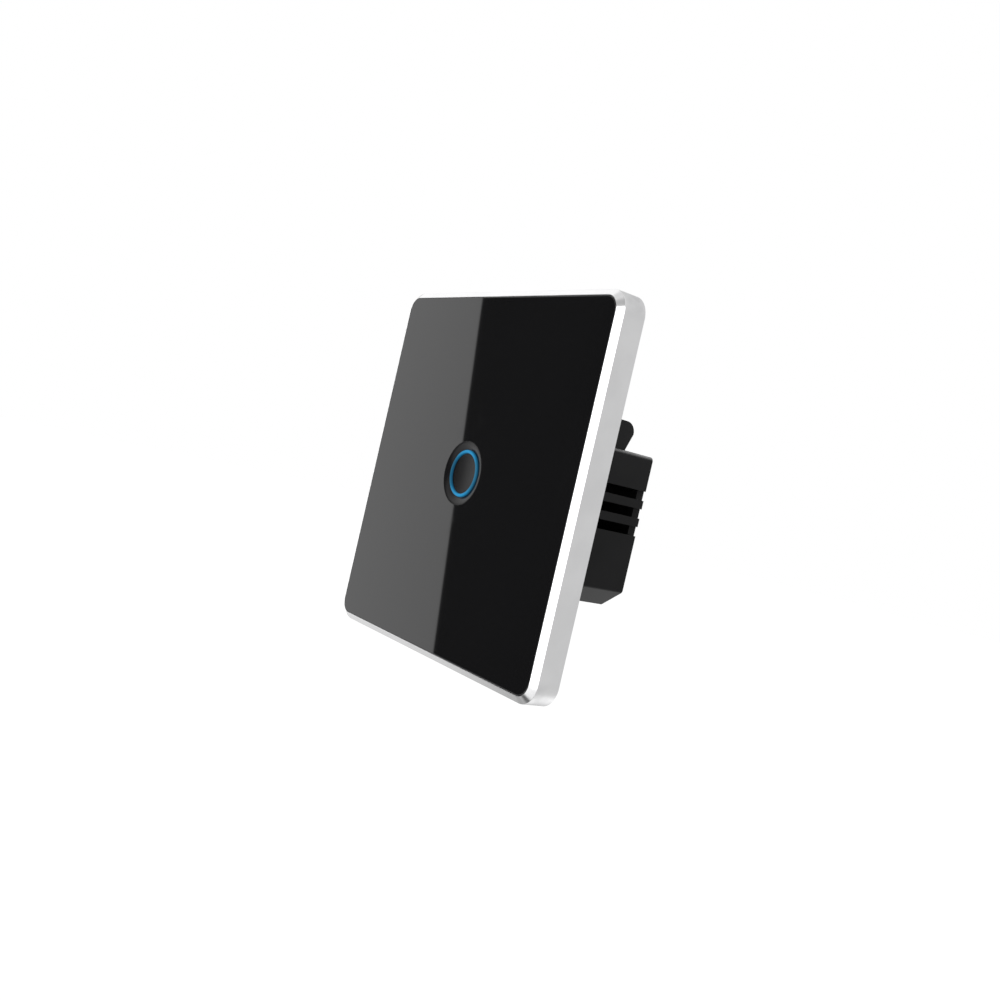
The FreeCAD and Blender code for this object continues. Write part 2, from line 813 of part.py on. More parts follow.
def board_socket():
    socket = block(socket_width, touch_rear, touch_rear + socket_height, socket_depth, 0, header_z)
    for x in header_places():
        hole = header_pin + 2 * SLIP
        socket = socket.cut(block(hole, touch_rear + AIR, touch_rear + socket_height, hole, x, header_z))
    return socket


def board_pins():
    strip = block(socket_width, power_front - header_strip, power_front, socket_depth, 0, header_z)
    for x in header_places():
        strip = strip.fuse(block(header_pin, touch_rear + 2 * AIR, power_rear, header_pin, x, header_z))
    return strip.removeSplitter()


# Power side
def power_board():
    """Board cut to the housing, notched round the screw bosses and slotted for the tabs."""
    outline = body_outline(wall + CORNER, inner_top - CORNER)
    board = prism(outline, power_front, power_rear)
    for x in (-screw_x, screw_x):
        board = board.cut(rod(boss_radius + AIR, power_front, power_rear, x, -screw_z))
    for x in cell_places():
        board = board.cut(block(pin_width + 2 * SLIP, power_front, power_rear, busbar_thick + 2 * SLIP,
                                x, tab_z + busbar_thick / 2))
    for x in header_places():
        hole = header_pin + 2 * SLIP
        board = board.cut(block(hole, power_front, power_rear, hole, x, header_z))
    return board


def relay_places():
    """Depths and heights inside the relay, in the order in which it is built up."""
    top_inside = relay_top - relay_skin
    yoke_foot = power_rear + relay_base_thick
    coil_start = yoke_foot + yoke_thick
    coil_end = coil_start + coil_length
    pole = coil_end + pole_rise
    post_z = top_inside - AIR - yoke_thick / 2
    return {
        "yoke_foot": yoke_foot,
        "coil_start": coil_start,
        "coil_end": coil_end,
        "pole": pole,
        "armature": pole + armature_gap,
        "post_z": post_z,
        "coil_z": post_z - yoke_thick / 2 - AIR - coil_radius,
    }


def relay_case():
    middle_z = relay_bottom + relay_height / 2
    start = power_rear + AIR
    case = block(relay_width, start, power_rear + relay_tall, relay_height, relay_x, middle_z)
    top = [edge for edge in case.Edges if edge.BoundBox.YMin > power_rear + relay_tall - 0.01]
    case = case.makeChamfer(relay_skin / 2, top)
    room = block(relay_width - 2 * relay_skin, start, power_rear + relay_tall - relay_skin,
                 relay_height - 2 * relay_skin, relay_x, middle_z)
    return case.cut(room)


def relay_base():
    width = relay_width - 2 * relay_skin - 2 * FIT
    height = relay_height - 2 * relay_skin - 2 * FIT
    middle_z = relay_bottom + relay_height / 2
    return block(width, power_rear, power_rear + relay_base_thick, height, relay_x, middle_z)


def relay_coil():
    """Bobbin with its winding, round the core."""
    at = relay_places()
    z = at["coil_z"]
    start, end = at["coil_start"], at["coil_end"]
    winding = rod(coil_radius - coil_sunk, start, end, relay_x, z)
    lower = block(2 * coil_radius, start, start + flange_thick, 2 * coil_radius, relay_x, z)
    upper = block(2 * coil_radius, end - flange_thick, end, 2 * coil_radius, relay_x, z)
    coil = winding.fuse([lower, upper])
    return coil.cut(rod(core_radius + FIT, start, end, relay_x, z))


def relay_yoke():
    """Bent iron yoke with the core riveted to its foot."""
    at = relay_places()
    foot_end = at["coil_z"] - coil_radius
    post_top = at["post_z"] + yoke_thick / 2
    foot = box(relay_x - yoke_width / 2, relay_x + yoke_width / 2, at["yoke_foot"], at["coil_start"],
               foot_end, post_top)
    post = box(relay_x - yoke_width / 2, relay_x + yoke_width / 2, at["yoke_foot"], at["armature"] - AIR,
               post_top - yoke_thick, post_top)
    core = rod(core_radius, at["yoke_foot"], at["pole"], relay_x, at["coil_z"])
    return foot.fuse([post, core]).removeSplitter()


def contact_z():
    return relay_places()["coil_z"] - coil_radius - contact_reach


def relay_armature():
    """Rocking plate over the pole, with a contact blade that reaches past the coil."""
    at = relay_places()
    front = at["armature"]
    rear = front + armature_thick
    plate_end = at["coil_z"] - core_radius - 1.0
    plate = box(relay_x - armature_width / 2, relay_x + armature_width / 2, front, rear,
                plate_end, at["post_z"] + yoke_thick / 2)
    blade = box(relay_x - blade_width / 2, relay_x + blade_width / 2, rear, rear + blade_thick,
                contact_z() - blade_width / 2, at["coil_z"] + core_radius)
    button = rod(contact_radius, rear - contact_thick, rear, relay_x, contact_z())
    return plate.fuse([blade, button]).removeSplitter()


def relay_contact():
    """Fixed contact on its post in the base."""
    at = relay_places()
    button_front = at["armature"] + armature_thick - contact_thick
    post_rear = button_front - armature_gap
    post = block(blade_width, at["yoke_foot"], post_rear - contact_thick / 2, 1.0, relay_x, contact_z())
    pad = rod(contact_radius, post_rear - contact_thick, post_rear, relay_x, contact_z())
    return post.fuse(pad).removeSplitter()


def transformer_core():
    """Pair of E shaped ferrites seen as one block with two windows."""
    core = block(core_width, power_rear, power_rear + core_tall, core_height, core_x, core_z)
    start = power_rear + core_post / 2
    end = power_rear + core_tall - core_post / 2
    for side in (-1, 1):
        x = core_x + side * (core_post / 2 + window_width / 2)
        core = core.cut(block(window_width, start, end, core_height, x, core_z))
    return core


def transformer_winding():
    reach = core_post / 2 + winding_fill * window_width
    start = power_rear + core_post / 2 + FIT
    end = power_rear + core_tall - core_post / 2 - FIT
    height = core_height + 2 * FIT
    winding = block(2 * reach, start, end, height, core_x, core_z)
    hole = block(core_post + 2 * FIT, start, end, height, core_x, core_z)
    halves = winding.cut(hole)
    return halves


def bulk_capacitor():
    return rod(capacitor_radius, power_rear, power_rear + capacitor_tall, capacitor_x, capacitor_z)


def suppression_capacitor():
    case = block(suppressor_width, power_rear, power_rear + suppressor_tall, suppressor_height,
                 suppressor_x, suppressor_z)
    return case.makeFillet(0.4, edges_along_y(case))


def varistor():
    """Coated disc that stands on its edge."""
    middle = Vector(varistor_x - varistor_thick / 2, power_rear + varistor_radius, varistor_z)
    return Part.makeCylinder(varistor_radius, varistor_thick, middle, Vector(1, 0, 0))


def fuse_link():
    return rod(fuse_radius, power_rear, power_rear + fuse_tall, fuse_x, fuse_z)


def filter_choke():
    end = power_rear + choke_length
    neck = rod(choke_radius - choke_neck, power_rear, end, choke_x, choke_z)
    side = 2 * choke_radius
    lower = block(side, power_rear, power_rear + choke_flange, side, choke_x, choke_z)
    upper = block(side, end - choke_flange, end, side, choke_x, choke_z)
    return neck.fuse([lower, upper]).removeSplitter()


def power_chip():
    x = suppressor_x + suppressor_width / 2 + CORNER + chip_width / 2
    chip = block(chip_width, power_rear, power_rear + chip_thick, chip_height, x, suppressor_z)
    top = [edge for edge in chip.Edges if edge.BoundBox.YMin > power_rear + chip_thick - 0.01]
    return chip.makeChamfer(0.25, top)


# Front panel
save("glass_panel", glass_panel())
save("ring_diffuser", ring_diffuser())
save("glass_tape", glass_tape())
save("trim_frame", trim_frame())
save("panel_carrier", panel_carrier())

# Plate, cover and housing
save("mounting_plate", mounting_plate())
save("peg_bushes", *peg_bushes())
save("housing_screws", *housing_screws())
save("front_cover", front_cover())
save("rear_housing", rear_housing())

# Terminals, numbered from the left
for number, cell_x in enumerate(cell_places(), start=1):
    save(f"terminal_block_{number}", terminal_block(cell_x))
    save(f"terminal_clamp_{number}", terminal_clamp(cell_x))
    save(f"terminal_screw_{number}", terminal_screw(cell_x))
save("terminal_busbars", *[busbar(cell_x) for cell_x in cell_places()])

# Touch electronics
save("touch_board", touch_board())
save("touch_spring", touch_spring())
save("light_guide", light_guide())
save("light_shroud", light_shroud())
save("status_leds", *status_leds())
save("touch_chip", touch_chip())
save("radio_board", radio_board())
save("radio_shield", radio_shield())
save("board_socket", board_socket())
save("board_pins", board_pins())

# Power electronics
save("power_board", power_board())
save("relay_base", relay_base())
save("relay_case", relay_case())
save("relay_coil", relay_coil())
save("relay_yoke", relay_yoke())
save("relay_armature", relay_armature())
save("relay_contact", relay_contact())
save("transformer_core", transformer_core())
save("transformer_winding", transformer_winding())
save("bulk_capacitor", bulk_capacitor())
save("suppression_capacitor", suppression_capacitor())
save("varistor", varistor())
save("fuse", fuse_link())
save("filter_choke", filter_choke())
save("power_chip", power_chip())
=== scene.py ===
import math

import bmesh
import bpy
from mathutils import Matrix, Vector


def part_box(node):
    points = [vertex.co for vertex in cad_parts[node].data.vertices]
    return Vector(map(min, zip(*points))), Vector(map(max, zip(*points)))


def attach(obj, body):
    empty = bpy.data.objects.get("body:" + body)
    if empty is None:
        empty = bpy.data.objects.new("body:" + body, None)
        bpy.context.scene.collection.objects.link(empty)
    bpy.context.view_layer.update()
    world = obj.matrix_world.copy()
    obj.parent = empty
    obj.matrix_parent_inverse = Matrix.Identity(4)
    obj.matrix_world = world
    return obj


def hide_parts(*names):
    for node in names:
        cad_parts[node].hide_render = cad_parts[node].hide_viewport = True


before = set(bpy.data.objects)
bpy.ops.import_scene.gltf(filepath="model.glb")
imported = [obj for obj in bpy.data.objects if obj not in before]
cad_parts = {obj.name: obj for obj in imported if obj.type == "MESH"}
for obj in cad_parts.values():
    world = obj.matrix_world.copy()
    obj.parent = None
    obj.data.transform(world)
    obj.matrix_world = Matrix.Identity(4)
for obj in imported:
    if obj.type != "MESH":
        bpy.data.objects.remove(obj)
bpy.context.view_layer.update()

# Glass panel
# Square of tempered glass, blackened on the back, with ground edges and a satin finger dish.
# It is cut and ground from sheet, and lies in the frame against the carrier's tape.
mm = 0.001
turn_steps = 192
side_steps = 32
corner_steps = 16


class Signal:
    """One output of a node in a finish. Arithmetic on signals adds the Math nodes for it."""

    def __init__(self, socket):
        self.socket = socket
        self.tree = socket.id_data

    def node(self, kind, settings, inputs, output=0):
        """Adds any other node: its type, its settings, then the values or links of its sockets."""
        made = self.tree.nodes.new(kind)
        for name, value in settings.items():
            setattr(made, name, value)
        for name, value in inputs.items():
            if isinstance(value, Signal):
                self.tree.links.new(value.socket, made.inputs[name])
            else:
                made.inputs[name].default_value = value
        return Signal(made.outputs[output])

    def maths(self, operation, *values):
        return self.node("ShaderNodeMath", {"operation": operation}, dict(enumerate(values)))

    def through(self, operation, *others):
        """This signal passed through one Math operation, with other values after it."""
        return self.maths(operation, self, *others)

    def __add__(self, other):
        return self.maths("ADD", self, other)

    def __radd__(self, other):
        return self.maths("ADD", other, self)

    def __sub__(self, other):
        return self.maths("SUBTRACT", self, other)

    def __rsub__(self, other):
        return self.maths("SUBTRACT", other, self)

    def __mul__(self, other):
        return self.maths("MULTIPLY", self, other)

    def __rmul__(self, other):
        return self.maths("MULTIPLY", other, self)

    def __truediv__(self, other):
        return self.maths("DIVIDE", self, other)

    def __abs__(self):
        return self.through("ABSOLUTE")

    def __neg__(self):
        return self.maths("SUBTRACT", 0.0, self)

    def part(self, axis):
        """X, Y or Z of a place."""
        return self.node("ShaderNodeSeparateXYZ", {}, {0: self}, "XYZ".index(axis))

    def stretched(self, x, y, z):
        return self.node("ShaderNodeVectorMath", {"operation": "MULTIPLY"}, {0: self, 1: (x, y, z)})

    def noise(self, size, detail=2.0):
        """Cloudy pattern whose patches are about that size in metres."""
        return self.node("ShaderNodeTexNoise", {}, {"Vector": self, "Scale": 1 / size, "Detail": detail})

    def cells(self, size):
        """Distance from the nearest of many scattered points, about that size in metres apart."""
        return self.node("ShaderNodeTexVoronoi", {}, {"Vector": self, "Scale": 1 / size})

    def rise(self, low, high):
        """0 below low, 1 above high, and smooth between them."""
        smooth = {"interpolation_type": "SMOOTHSTEP"}
        return self.node("ShaderNodeMapRange", smooth, {0: self, 1: low, 2: high})

    def between(self, low, high):
        """Colour that goes from low to high as the signal goes from 0 to 1."""
        return self.node("ShaderNodeMix", {"data_type": "RGBA"}, {0: self, 6: low, 7: high}, 2)

    def relief(self, depth):
        """Normal of a surface that stands this high in metres where the signal is 1."""
        return self.node("ShaderNodeBump", {}, {"Strength": 1.0, "Distance": depth, "Height": self})


def begin_finish(name, **fixed):
    """New material with fixed values on its shader, and the place that its patterns follow."""
    material = bpy.data.materials.new(name)
    material.use_nodes = True
    tree = material.node_tree
    shader = tree.nodes["Principled BSDF"]
    for socket, value in fixed.items():
        shader.inputs[socket.replace("_", " ")].default_value = value
    place = Signal(tree.nodes.new("ShaderNodeTexCoord").outputs["Object"])
    return material, place


def feed(material, **signals):
    """Links signals to the sockets of the material's shader that they are named for."""
    shader = material.node_tree.nodes["Principled BSDF"]
    for socket, signal in signals.items():
        material.node_tree.links.new(signal.socket, shader.inputs[socket.replace("_", " ")])


def grey(level):
    return (level, level, level, 1.0)


def off_centre_squared(place):
    """Distance from the middle of the dish, squared."""
    return place.part("X") * place.part("X") + place.part("Z") * place.part("Z")


def ring_of(radius, depth, x=0.0, z=0.0, steps=turn_steps):
    """Circle of points round the Y axis at one depth."""
    angles = [2 * math.pi * (step + 0.5) / steps for step in range(steps)]
    return [Vector((x + radius * math.cos(angle), depth, z + radius * math.sin(angle))) for angle in angles]


def square_ring(half, radius, depth, along=side_steps, round_corner=corner_steps):
    """Square with round corners at one depth, starting half way up its right side."""
    flat = half - radius
    quarter = []
    for step in range(along // 2):
        quarter.append((half, flat * step / (along // 2)))
    for step in range(round_corner):
        angle = math.pi / 2 * step / round_corner
        quarter.append((flat + radius * math.cos(angle), flat + radius * math.sin(angle)))
    for step in range(along // 2):
        quarter.append((flat * (1 - step / (along // 2)), half))
    points = []
    for turn in range(4):
        c, s = (1, 0, -1, 0)[turn], (0, 1, 0, -1)[turn]
        points += [Vector((x * c - z * s, depth, x * s + z * c)) for x, z in quarter]
    return points


def skin(name, rings, looped=False, sharp=35):
    """Mesh through rings of equal count, closed by end faces or joined last to first."""
    count = len(rings[0])
    faces = []
    spans = len(rings) if looped else len(rings) - 1
    for row in range(spans):
        here, there = row * count, (row + 1) % len(rings) * count
        for step in range(count):
            after = (step + 1) % count
            faces.append((here + step, here + after, there + after, there + step))
    if not looped:
        faces.append(tuple(range(count)))
        faces.append(tuple(range((len(rings) - 1) * count, len(rings) * count)))
    mesh = bpy.data.meshes.new(name)
    mesh.from_pydata([point for ring in rings for point in ring], [], faces)
    return settle(mesh, sharp)


def settle(mesh, sharp=35):
    """Merges what coincides, turns every face outwards and smooths all but the sharp edges."""
    shape = bmesh.new()
    shape.from_mesh(mesh)
    bmesh.ops.remove_doubles(shape, verts=shape.verts, dist=0.001 * mm)
    bmesh.ops.recalc_face_normals(shape, faces=shape.faces)
    shape.to_mesh(mesh)
    shape.free()
    mesh.shade_smooth()
    mesh.set_sharp_from_angle(angle=math.radians(sharp))
    return mesh


def place_piece(name, mesh, finish, body, nodes):
    """Puts a finished piece on its body, in the stead of the solids that it stands for."""
    piece = bpy.data.objects.new(name, mesh)
    bpy.context.scene.collection.objects.link(piece)
    mesh.materials.clear()
    mesh.materials.append(finish)
    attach(piece, body)
    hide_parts(*nodes)
    return piece


def black_glass():
    """Near-black glass: clean gloss, faint finger marks round the dish and a few specks of dust."""
    finish, place = begin_finish("black_glass", IOR=1.5)
    touched_near, touched_far = 9 * mm, 26 * mm
    touched = 1 - off_centre_squared(place).rise(touched_near ** 2, touched_far ** 2)
    smear = place.stretched(1, 1, 0.45).noise(6 * mm, 4).rise(0.52, 0.78) * touched
    dust = 1 - place.cells(2.6 * mm).rise(0.012, 0.03)
    tone = place.noise(30 * mm, 1).between((0.0045, 0.0045, 0.005, 1), (0.0065, 0.0065, 0.007, 1))
    feed(finish,
         Base_Color=(dust * 0.3).between(tone, grey(0.12)),
         Roughness=0.016 + smear * 0.045 + dust * 0.3,
         Normal=(place.noise(22 * mm, 1) * 0.0015).relief(mm))
    return finish


def ground_glass():
    """Floor and slope of the dish: ground satin, worn a little smoother in the middle by fingertips."""
    finish, place = begin_finish("ground_glass", IOR=1.5, Specular_IOR_Level=0.20)
    worn_near, worn_far = 1.5 * mm, 4.4 * mm
    worn = 1 - off_centre_squared(place).rise(worn_near ** 2, worn_far ** 2)
    worn = worn * place.noise(1.5 * mm, 3).rise(0.35, 0.7)
    ground = place.noise(0.25 * mm, 2)
    feed(finish,
         Base_Color=ground.between((0.0050, 0.0048, 0.0052, 1), (0.0085, 0.0082, 0.0088, 1)),
         Roughness=0.21 + ground * 0.08 - worn * 0.04,
         Normal=ground.relief(0.004 * mm))
    return finish


glass_low, glass_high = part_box("glass_panel")
ring_low, ring_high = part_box("ring_diffuser")
glass_front, glass_rear = glass_low.y, glass_high.y
glass_half = glass_high.x
glass_corner = 3.4 * mm
arris = 0.2 * mm
dish_depth = 0.6 * mm
dish_floor = glass_front + dish_depth
dish_radius = 7.5 * mm
dish_flat = 5.75 * mm
bowl_radius = 4.5 * mm
bowl_depth = 0.16 * mm
bowl_steps = 12
groove_outer = ring_high.x
groove_inner = 4.7 * mm
groove_floor = ring_high.y
lip = 0.02 * mm
slope_steps = 14
slope_bend = 1.6
arris_steps = 4

dish_rings = []
for step in range(1, bowl_steps + 1):
    out = step / bowl_steps
    dish_rings.append(ring_of(bowl_radius * out, dish_floor + bowl_depth * (1 - out ** 2)))
dish_rings += [ring_of(groove_inner - lip, dish_floor), ring_of(groove_inner, dish_floor + lip)]
dish_rings += [ring_of(groove_inner, groove_floor), ring_of(groove_outer, groove_floor)]
dish_rings += [ring_of(groove_outer, dish_floor + lip), ring_of(groove_outer + lip, dish_floor)]
for step in range(slope_steps + 1):
    out = step / slope_steps
    depth = dish_depth * (1 - out) ** slope_bend
    dish_rings.append(ring_of(dish_flat + (dish_radius - dish_flat) * out, glass_front + depth))
dish_rings += [ring_of(dish_radius + lip, glass_front), ring_of(dish_radius + 2 * lip, glass_front)]
face_rings = [square_ring(glass_half - arris - lip, glass_corner - arris, glass_front)]
for step in range(arris_steps + 1):
    angle = math.pi / 2 * step / arris_steps
    inset = arris * (1 - math.sin(angle))
    face_rings.append(square_ring(glass_half - inset, glass_corner - inset,
                                  glass_front + arris * (1 - math.cos(angle))))
face_rings.append(square_ring(glass_half, glass_corner, glass_rear - arris))
face_rings.append(square_ring(glass_half - arris, glass_corner - arris, glass_rear))
glass_mesh = skin("glass", dish_rings + face_rings)
place_piece("glass", glass_mesh, black_glass(), "front_panel", ["glass_panel"])
glass_mesh.materials.append(ground_glass())
for face in glass_mesh.polygons:
    out = math.hypot(face.center.x, face.center.z)
    face.material_index = 1 if out < dish_radius and face.center.y < glass_rear - mm else 0


# Ring of light
# Translucent blue ring let into the dish, lit from behind through its guide.
# It is moulded and pressed into the ground groove, where its bead stands a little above the floor.
def lit_diffuser():
    """Blue plastic that glows, brighter above and below; its left side glows dimmer and darker as painted
    shade.
    """
    finish, place = begin_finish("lit_diffuser", IOR=1.46, Emission_Strength=1.0, Specular_IOR_Level=0.12)
    radius = off_centre_squared(place).through("SQRT")
    upright = abs(place.part("Z")) / radius
    lit = upright.rise(0.4, 1.05)
    cloud = place.noise(1.2 * mm, 2)
    across = 1 - abs(radius - bead_middle) / bead_half
    core = across.rise(0.0, 0.65)
    # Painted shade: the left side of the ring glows dimmer and darker.
    left = (-place.part("X")).rise(0.0, 4.5 * mm)
    side = left.between((0.012, 0.105, 0.18, 1), (0.002, 0.055, 0.095, 1))
    glow = (lit * (1 - left * 0.3)).between(side, (0.006, 0.225, 0.46, 1))
    feed(finish,
         Base_Color=cloud.between((0.006, 0.05, 0.10, 1), (0.010, 0.07, 0.13, 1)),
         Emission_Color=(core * 0.75 + 0.25).between((0.0, 0.02, 0.05, 1), glow),
         Roughness=0.3 + cloud * 0.1,
         Normal=place.noise(0.5 * mm, 2).relief(0.002 * mm))
    return finish


bead_rise = dish_floor - ring_low.y
bead_middle = (groove_outer + groove_inner) / 2
bead_half = (groove_outer - groove_inner) / 2
bead_fullness = 0.8
bead_steps = 16
ring_rings = [ring_of(groove_inner, groove_floor)]
for step in range(bead_steps + 1):
    angle = math.pi * (1 - step / bead_steps)
    crown = bead_rise * math.sin(angle) ** bead_fullness if 0 < step < bead_steps else 0.0
    ring_rings.append(ring_of(bead_middle + bead_half * math.cos(angle), dish_floor - crown))
ring_rings.append(ring_of(groove_outer, groove_floor))
ring_mesh = skin("ring", ring_rings, looped=True)
place_piece("ring_of_light", ring_mesh, lit_diffuser(), "front_panel", ["ring_diffuser"])


# Silver frame
# Thin frame round the glass with a bevelled front edge and a lip behind the glass.
# It is die-cast, blasted and satin plated; its corners are painted darker and made duller, and the darkening
# is painted shade.
frame_low, frame_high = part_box("trim_frame")
frame_front, frame_rear = frame_low.y, frame_high.y
frame_half = frame_high.x
frame_corner = 5.0 * mm
bevel_width = 1.45 * mm
bevel_depth = 1.2 * mm
bevel_foot = frame_front + bevel_depth
mouth_inset = 1.55 * mm
lip_inset = mouth_inset + 2.5 * mm
lip_corner = 2.0 * mm
lip_rear = glass_rear + 1.2 * mm
edge_round = 0.2 * mm
edge_steps = 5
frame_crease = 24
notch_width = 8.0 * mm
notch_depth = 1.2 * mm


def satin_silver():
    """Satin plated metal with a fine blasted grain, a cut and polished bevel, and duller corners painted
    darker as painted shade.
    """
    finish, place = begin_finish("satin_silver", Metallic=1.0)
    polished = 1 - place.part("Y").rise(bevel_foot - 0.12 * mm, bevel_foot + 0.05 * mm)
    corner = (abs(place.part("X")) + abs(place.part("Z"))).rise(79.5 * mm, 84.5 * mm)
    cloud = place.noise(9 * mm, 4)
    # Painted shade: cloudy patches at the corners are painted darker, and are also rougher.
    painted_corner_shade = corner * cloud.rise(0.38, 0.62)
    grain = place.noise(0.10 * mm, 2)
    tone = cloud.rise(0.3, 0.7).between((0.81, 0.81, 0.815, 1), (0.86, 0.86, 0.865, 1))
    feed(finish,
         Base_Color=(painted_corner_shade * 0.55).between(tone, (0.40, 0.40, 0.41, 1)),
         Roughness=0.30 + cloud * 0.06 + painted_corner_shade * 0.1 - polished * 0.16,
         Normal=(grain * (1 - polished * 0.8)).relief(0.0035 * mm))
    return finish


def frame_ring(inset, depth, radius=None):
    """Square ring of the frame, that far inside its outline."""
    if radius is None:
        radius = frame_corner - inset
    return square_ring(frame_half - inset, radius, depth, 2, 24)


lean = math.atan2(bevel_width, bevel_depth)
reach = edge_round * math.tan(lean / 2)
profile = [(lip, frame_rear), (0.0, frame_rear - lip)]
for step in range(edge_steps + 1):
    angle = lean * step / edge_steps
    profile.append((edge_round * (1 - math.cos(angle)), bevel_foot + reach - edge_round * math.sin(angle)))
profile += [(bevel_width - lip, frame_front + lip), (bevel_width, frame_front)]
profile += [(mouth_inset - lip, frame_front), (mouth_inset, frame_front + lip), (mouth_inset, glass_rear)]
frame_rings = [frame_ring(inset, depth) for inset, depth in profile]
frame_rings.append(frame_ring(lip_inset, glass_rear, lip_corner))
frame_rings.append(frame_ring(lip_inset, lip_rear, lip_corner))
frame_rings += [frame_ring(mouth_inset, lip_rear), frame_ring(mouth_inset, frame_rear)]
frame_mesh = skin("silver_frame", frame_rings, looped=True, sharp=frame_crease)


def carved(mesh, cutter_mesh):
    """Mesh less another, as a plain mesh."""
    body = bpy.data.objects.new("carved", mesh)
    cutter = bpy.data.objects.new("cutter", cutter_mesh)
    for thing in (body, cutter):
        bpy.context.scene.collection.objects.link(thing)
    cut = body.modifiers.new("cut", "BOOLEAN")
    cut.object = cutter
    cut.solver = "EXACT"
    result = bpy.data.meshes.new_from_object(body.evaluated_get(bpy.context.evaluated_depsgraph_get()))
    for thing in (body, cutter):
        bpy.data.objects.remove(thing)
    return result


def slab(name, low, high):
    """Plain block between two corners."""
    shape = bmesh.new()
    bmesh.ops.create_cube(shape, size=1.0)
    for vertex in shape.verts:
        vertex.co = Vector((low[i] + (high[i] - low[i]) * (vertex.co[i] + 0.5) for i in range(3)))
    mesh = bpy.data.meshes.new(name)
    shape.to_mesh(mesh)
    shape.free()
    return mesh


notch = slab("pry_notch", (-notch_width / 2, frame_rear - notch_depth, -frame_half - mm),
             (notch_width / 2, frame_rear + mm, -frame_half + mouth_inset + 0.5 * mm))
frame_mesh = carved(frame_mesh, notch)
frame_mesh.set_sharp_from_angle(angle=math.radians(frame_crease))
place_piece("silver_frame", frame_mesh, satin_silver(), "front_panel", ["trim_frame"])


# Carrier, tape and bushes
# The carrier is a black moulded tray behind the glass, held to it by foam tape; its four pegs push
# into nylon bushes in the steel plate. All three are made in one shot each and trimmed.
ease_steps = 2
ease_angle = 28
flat_weight = 80


def eased_copy(node, easing):
    """Copy of a solid with its flat faces made whole and its sharp edges eased.

    The eased faces carry the mark edge, and the large flat faces keep their own normals.
    """
    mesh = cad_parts[node].data.copy()
    shape = bmesh.new()
    shape.from_mesh(mesh)
    bmesh.ops.remove_doubles(shape, verts=shape.verts, dist=0.001 * mm)
    bmesh.ops.dissolve_limit(shape, angle_limit=math.radians(0.5), verts=shape.verts, edges=shape.edges)
    shape.to_mesh(mesh)
    shape.free()
    mesh.shade_smooth()
    piece = bpy.data.objects.new("easing", mesh)
    bpy.context.scene.collection.objects.link(piece)
    mesh.materials.clear()
    mesh.materials.append(None)
    mesh.materials.append(None)
    for face in mesh.polygons:
        face.material_index = 0
    bevel = piece.modifiers.new("ease", "BEVEL")
    bevel.width = easing
    bevel.segments = ease_steps
    bevel.limit_method = "ANGLE"
    bevel.angle_limit = math.radians(ease_angle)
    bevel.use_clamp_overlap = True
    bevel.material = 1
    flats = piece.modifiers.new("flats", "WEIGHTED_NORMAL")
    flats.mode = "FACE_AREA"
    flats.weight = flat_weight
    result = bpy.data.meshes.new_from_object(piece.evaluated_get(bpy.context.evaluated_depsgraph_get()))
    bpy.data.objects.remove(piece)
    mark = result.attributes.new("edge", "FLOAT", "CORNER")
    for face in result.polygons:
        if face.material_index == 1:
            for corner in face.loop_indices:
                mark.data[corner].value = 1.0
        face.material_index = 0
    return result


def finish_solid(node, finish, body, easing):
    """Puts an eased copy of a solid in the solid's stead."""
    return place_piece(node + "_made", eased_copy(node, easing), finish, body, [node])


def on_edges(place):
    """1 on the eased edges of a piece and 0 elsewhere."""
    return place.node("ShaderNodeAttribute", {"attribute_name": "edge"}, {}, "Fac")


def moulded(name, colour, roughness, grain=0.14, depth=0.004, shine=0.5):
    """Moulded plastic: eroded grain, faint flow marks and paler, rubbed edges. Sizes are in mm."""
    finish, place = begin_finish(name, Specular_IOR_Level=shine)
    flow = place.noise(11 * mm, 3)
    rub = on_edges(place) * place.noise(1.1 * mm, 3).rise(0.35, 0.65)
    darker = tuple(part * 0.8 for part in colour) + (1,)
    paler = tuple(min(part * 1.5 + 0.008, 1.0) for part in colour) + (1,)
    tone = flow.rise(0.3, 0.7).between(darker, colour + (1,))
    feed(finish,
         Base_Color=(rub * 0.7).between(tone, paler),
         Roughness=roughness + flow * 0.08 - rub * 0.12,
         Normal=place.noise(grain * mm, 2).relief(depth * mm))
    return finish


def foam():
    """Closed-cell foam tape with small open pores along its cut edges."""
    finish, place = begin_finish("foam", Specular_IOR_Level=0.2)
    pores = place.cells(0.35 * mm).rise(0.1, 0.5)
    feed(finish,
         Base_Color=pores.between(grey(0.018), grey(0.055)),
         Roughness=0.8 + place.noise(3 * mm) * 0.15,
         Normal=pores.relief(0.03 * mm))
    return finish


black_plastic = moulded("black_plastic", (0.022, 0.022, 0.023), 0.5)
nylon = moulded("nylon", (0.62, 0.60, 0.54), 0.38, 0.4, 0.003)
finish_solid("panel_carrier", black_plastic, "front_panel", 0.12 * mm)
finish_solid("glass_tape", foam(), "front_panel", 0.03 * mm)
finish_solid("peg_bushes", nylon, "module", 0.15 * mm)


# Steel plate and its screws
# The plate carries the module on the wall box: punched from zinc plated sheet, with two long slots.
# Four countersunk screws, turned and cross-pressed, pull the housing up against it.
def plated_steel(name, tone, rough, brush=(1, 1, 1)):
    """Zinc plated steel: pale spangle, a rolled grain and bare, brighter edges."""
    finish, place = begin_finish(name, Metallic=1.0)
    spangle = place.cells(2.4 * mm)
    rolled = place.stretched(*brush).noise(0.4 * mm, 3)
    bare = on_edges(place) * place.noise(1.6 * mm, 2).rise(0.4, 0.6)
    dim = tuple(part * 0.84 for part in tone) + (1,)
    bright = tuple(min(part * 1.12, 0.95) for part in tone) + (1,)
    feed(finish,
         Base_Color=(bare * 0.8).between(spangle.between(dim, tone + (1,)), bright),
         Roughness=rough + rolled * 0.12 - bare * 0.08,
         Normal=rolled.relief(0.003 * mm))
    return finish


cross_arm = 0.27 * mm
cross_reach = 0.62
cross_taper = 0.55


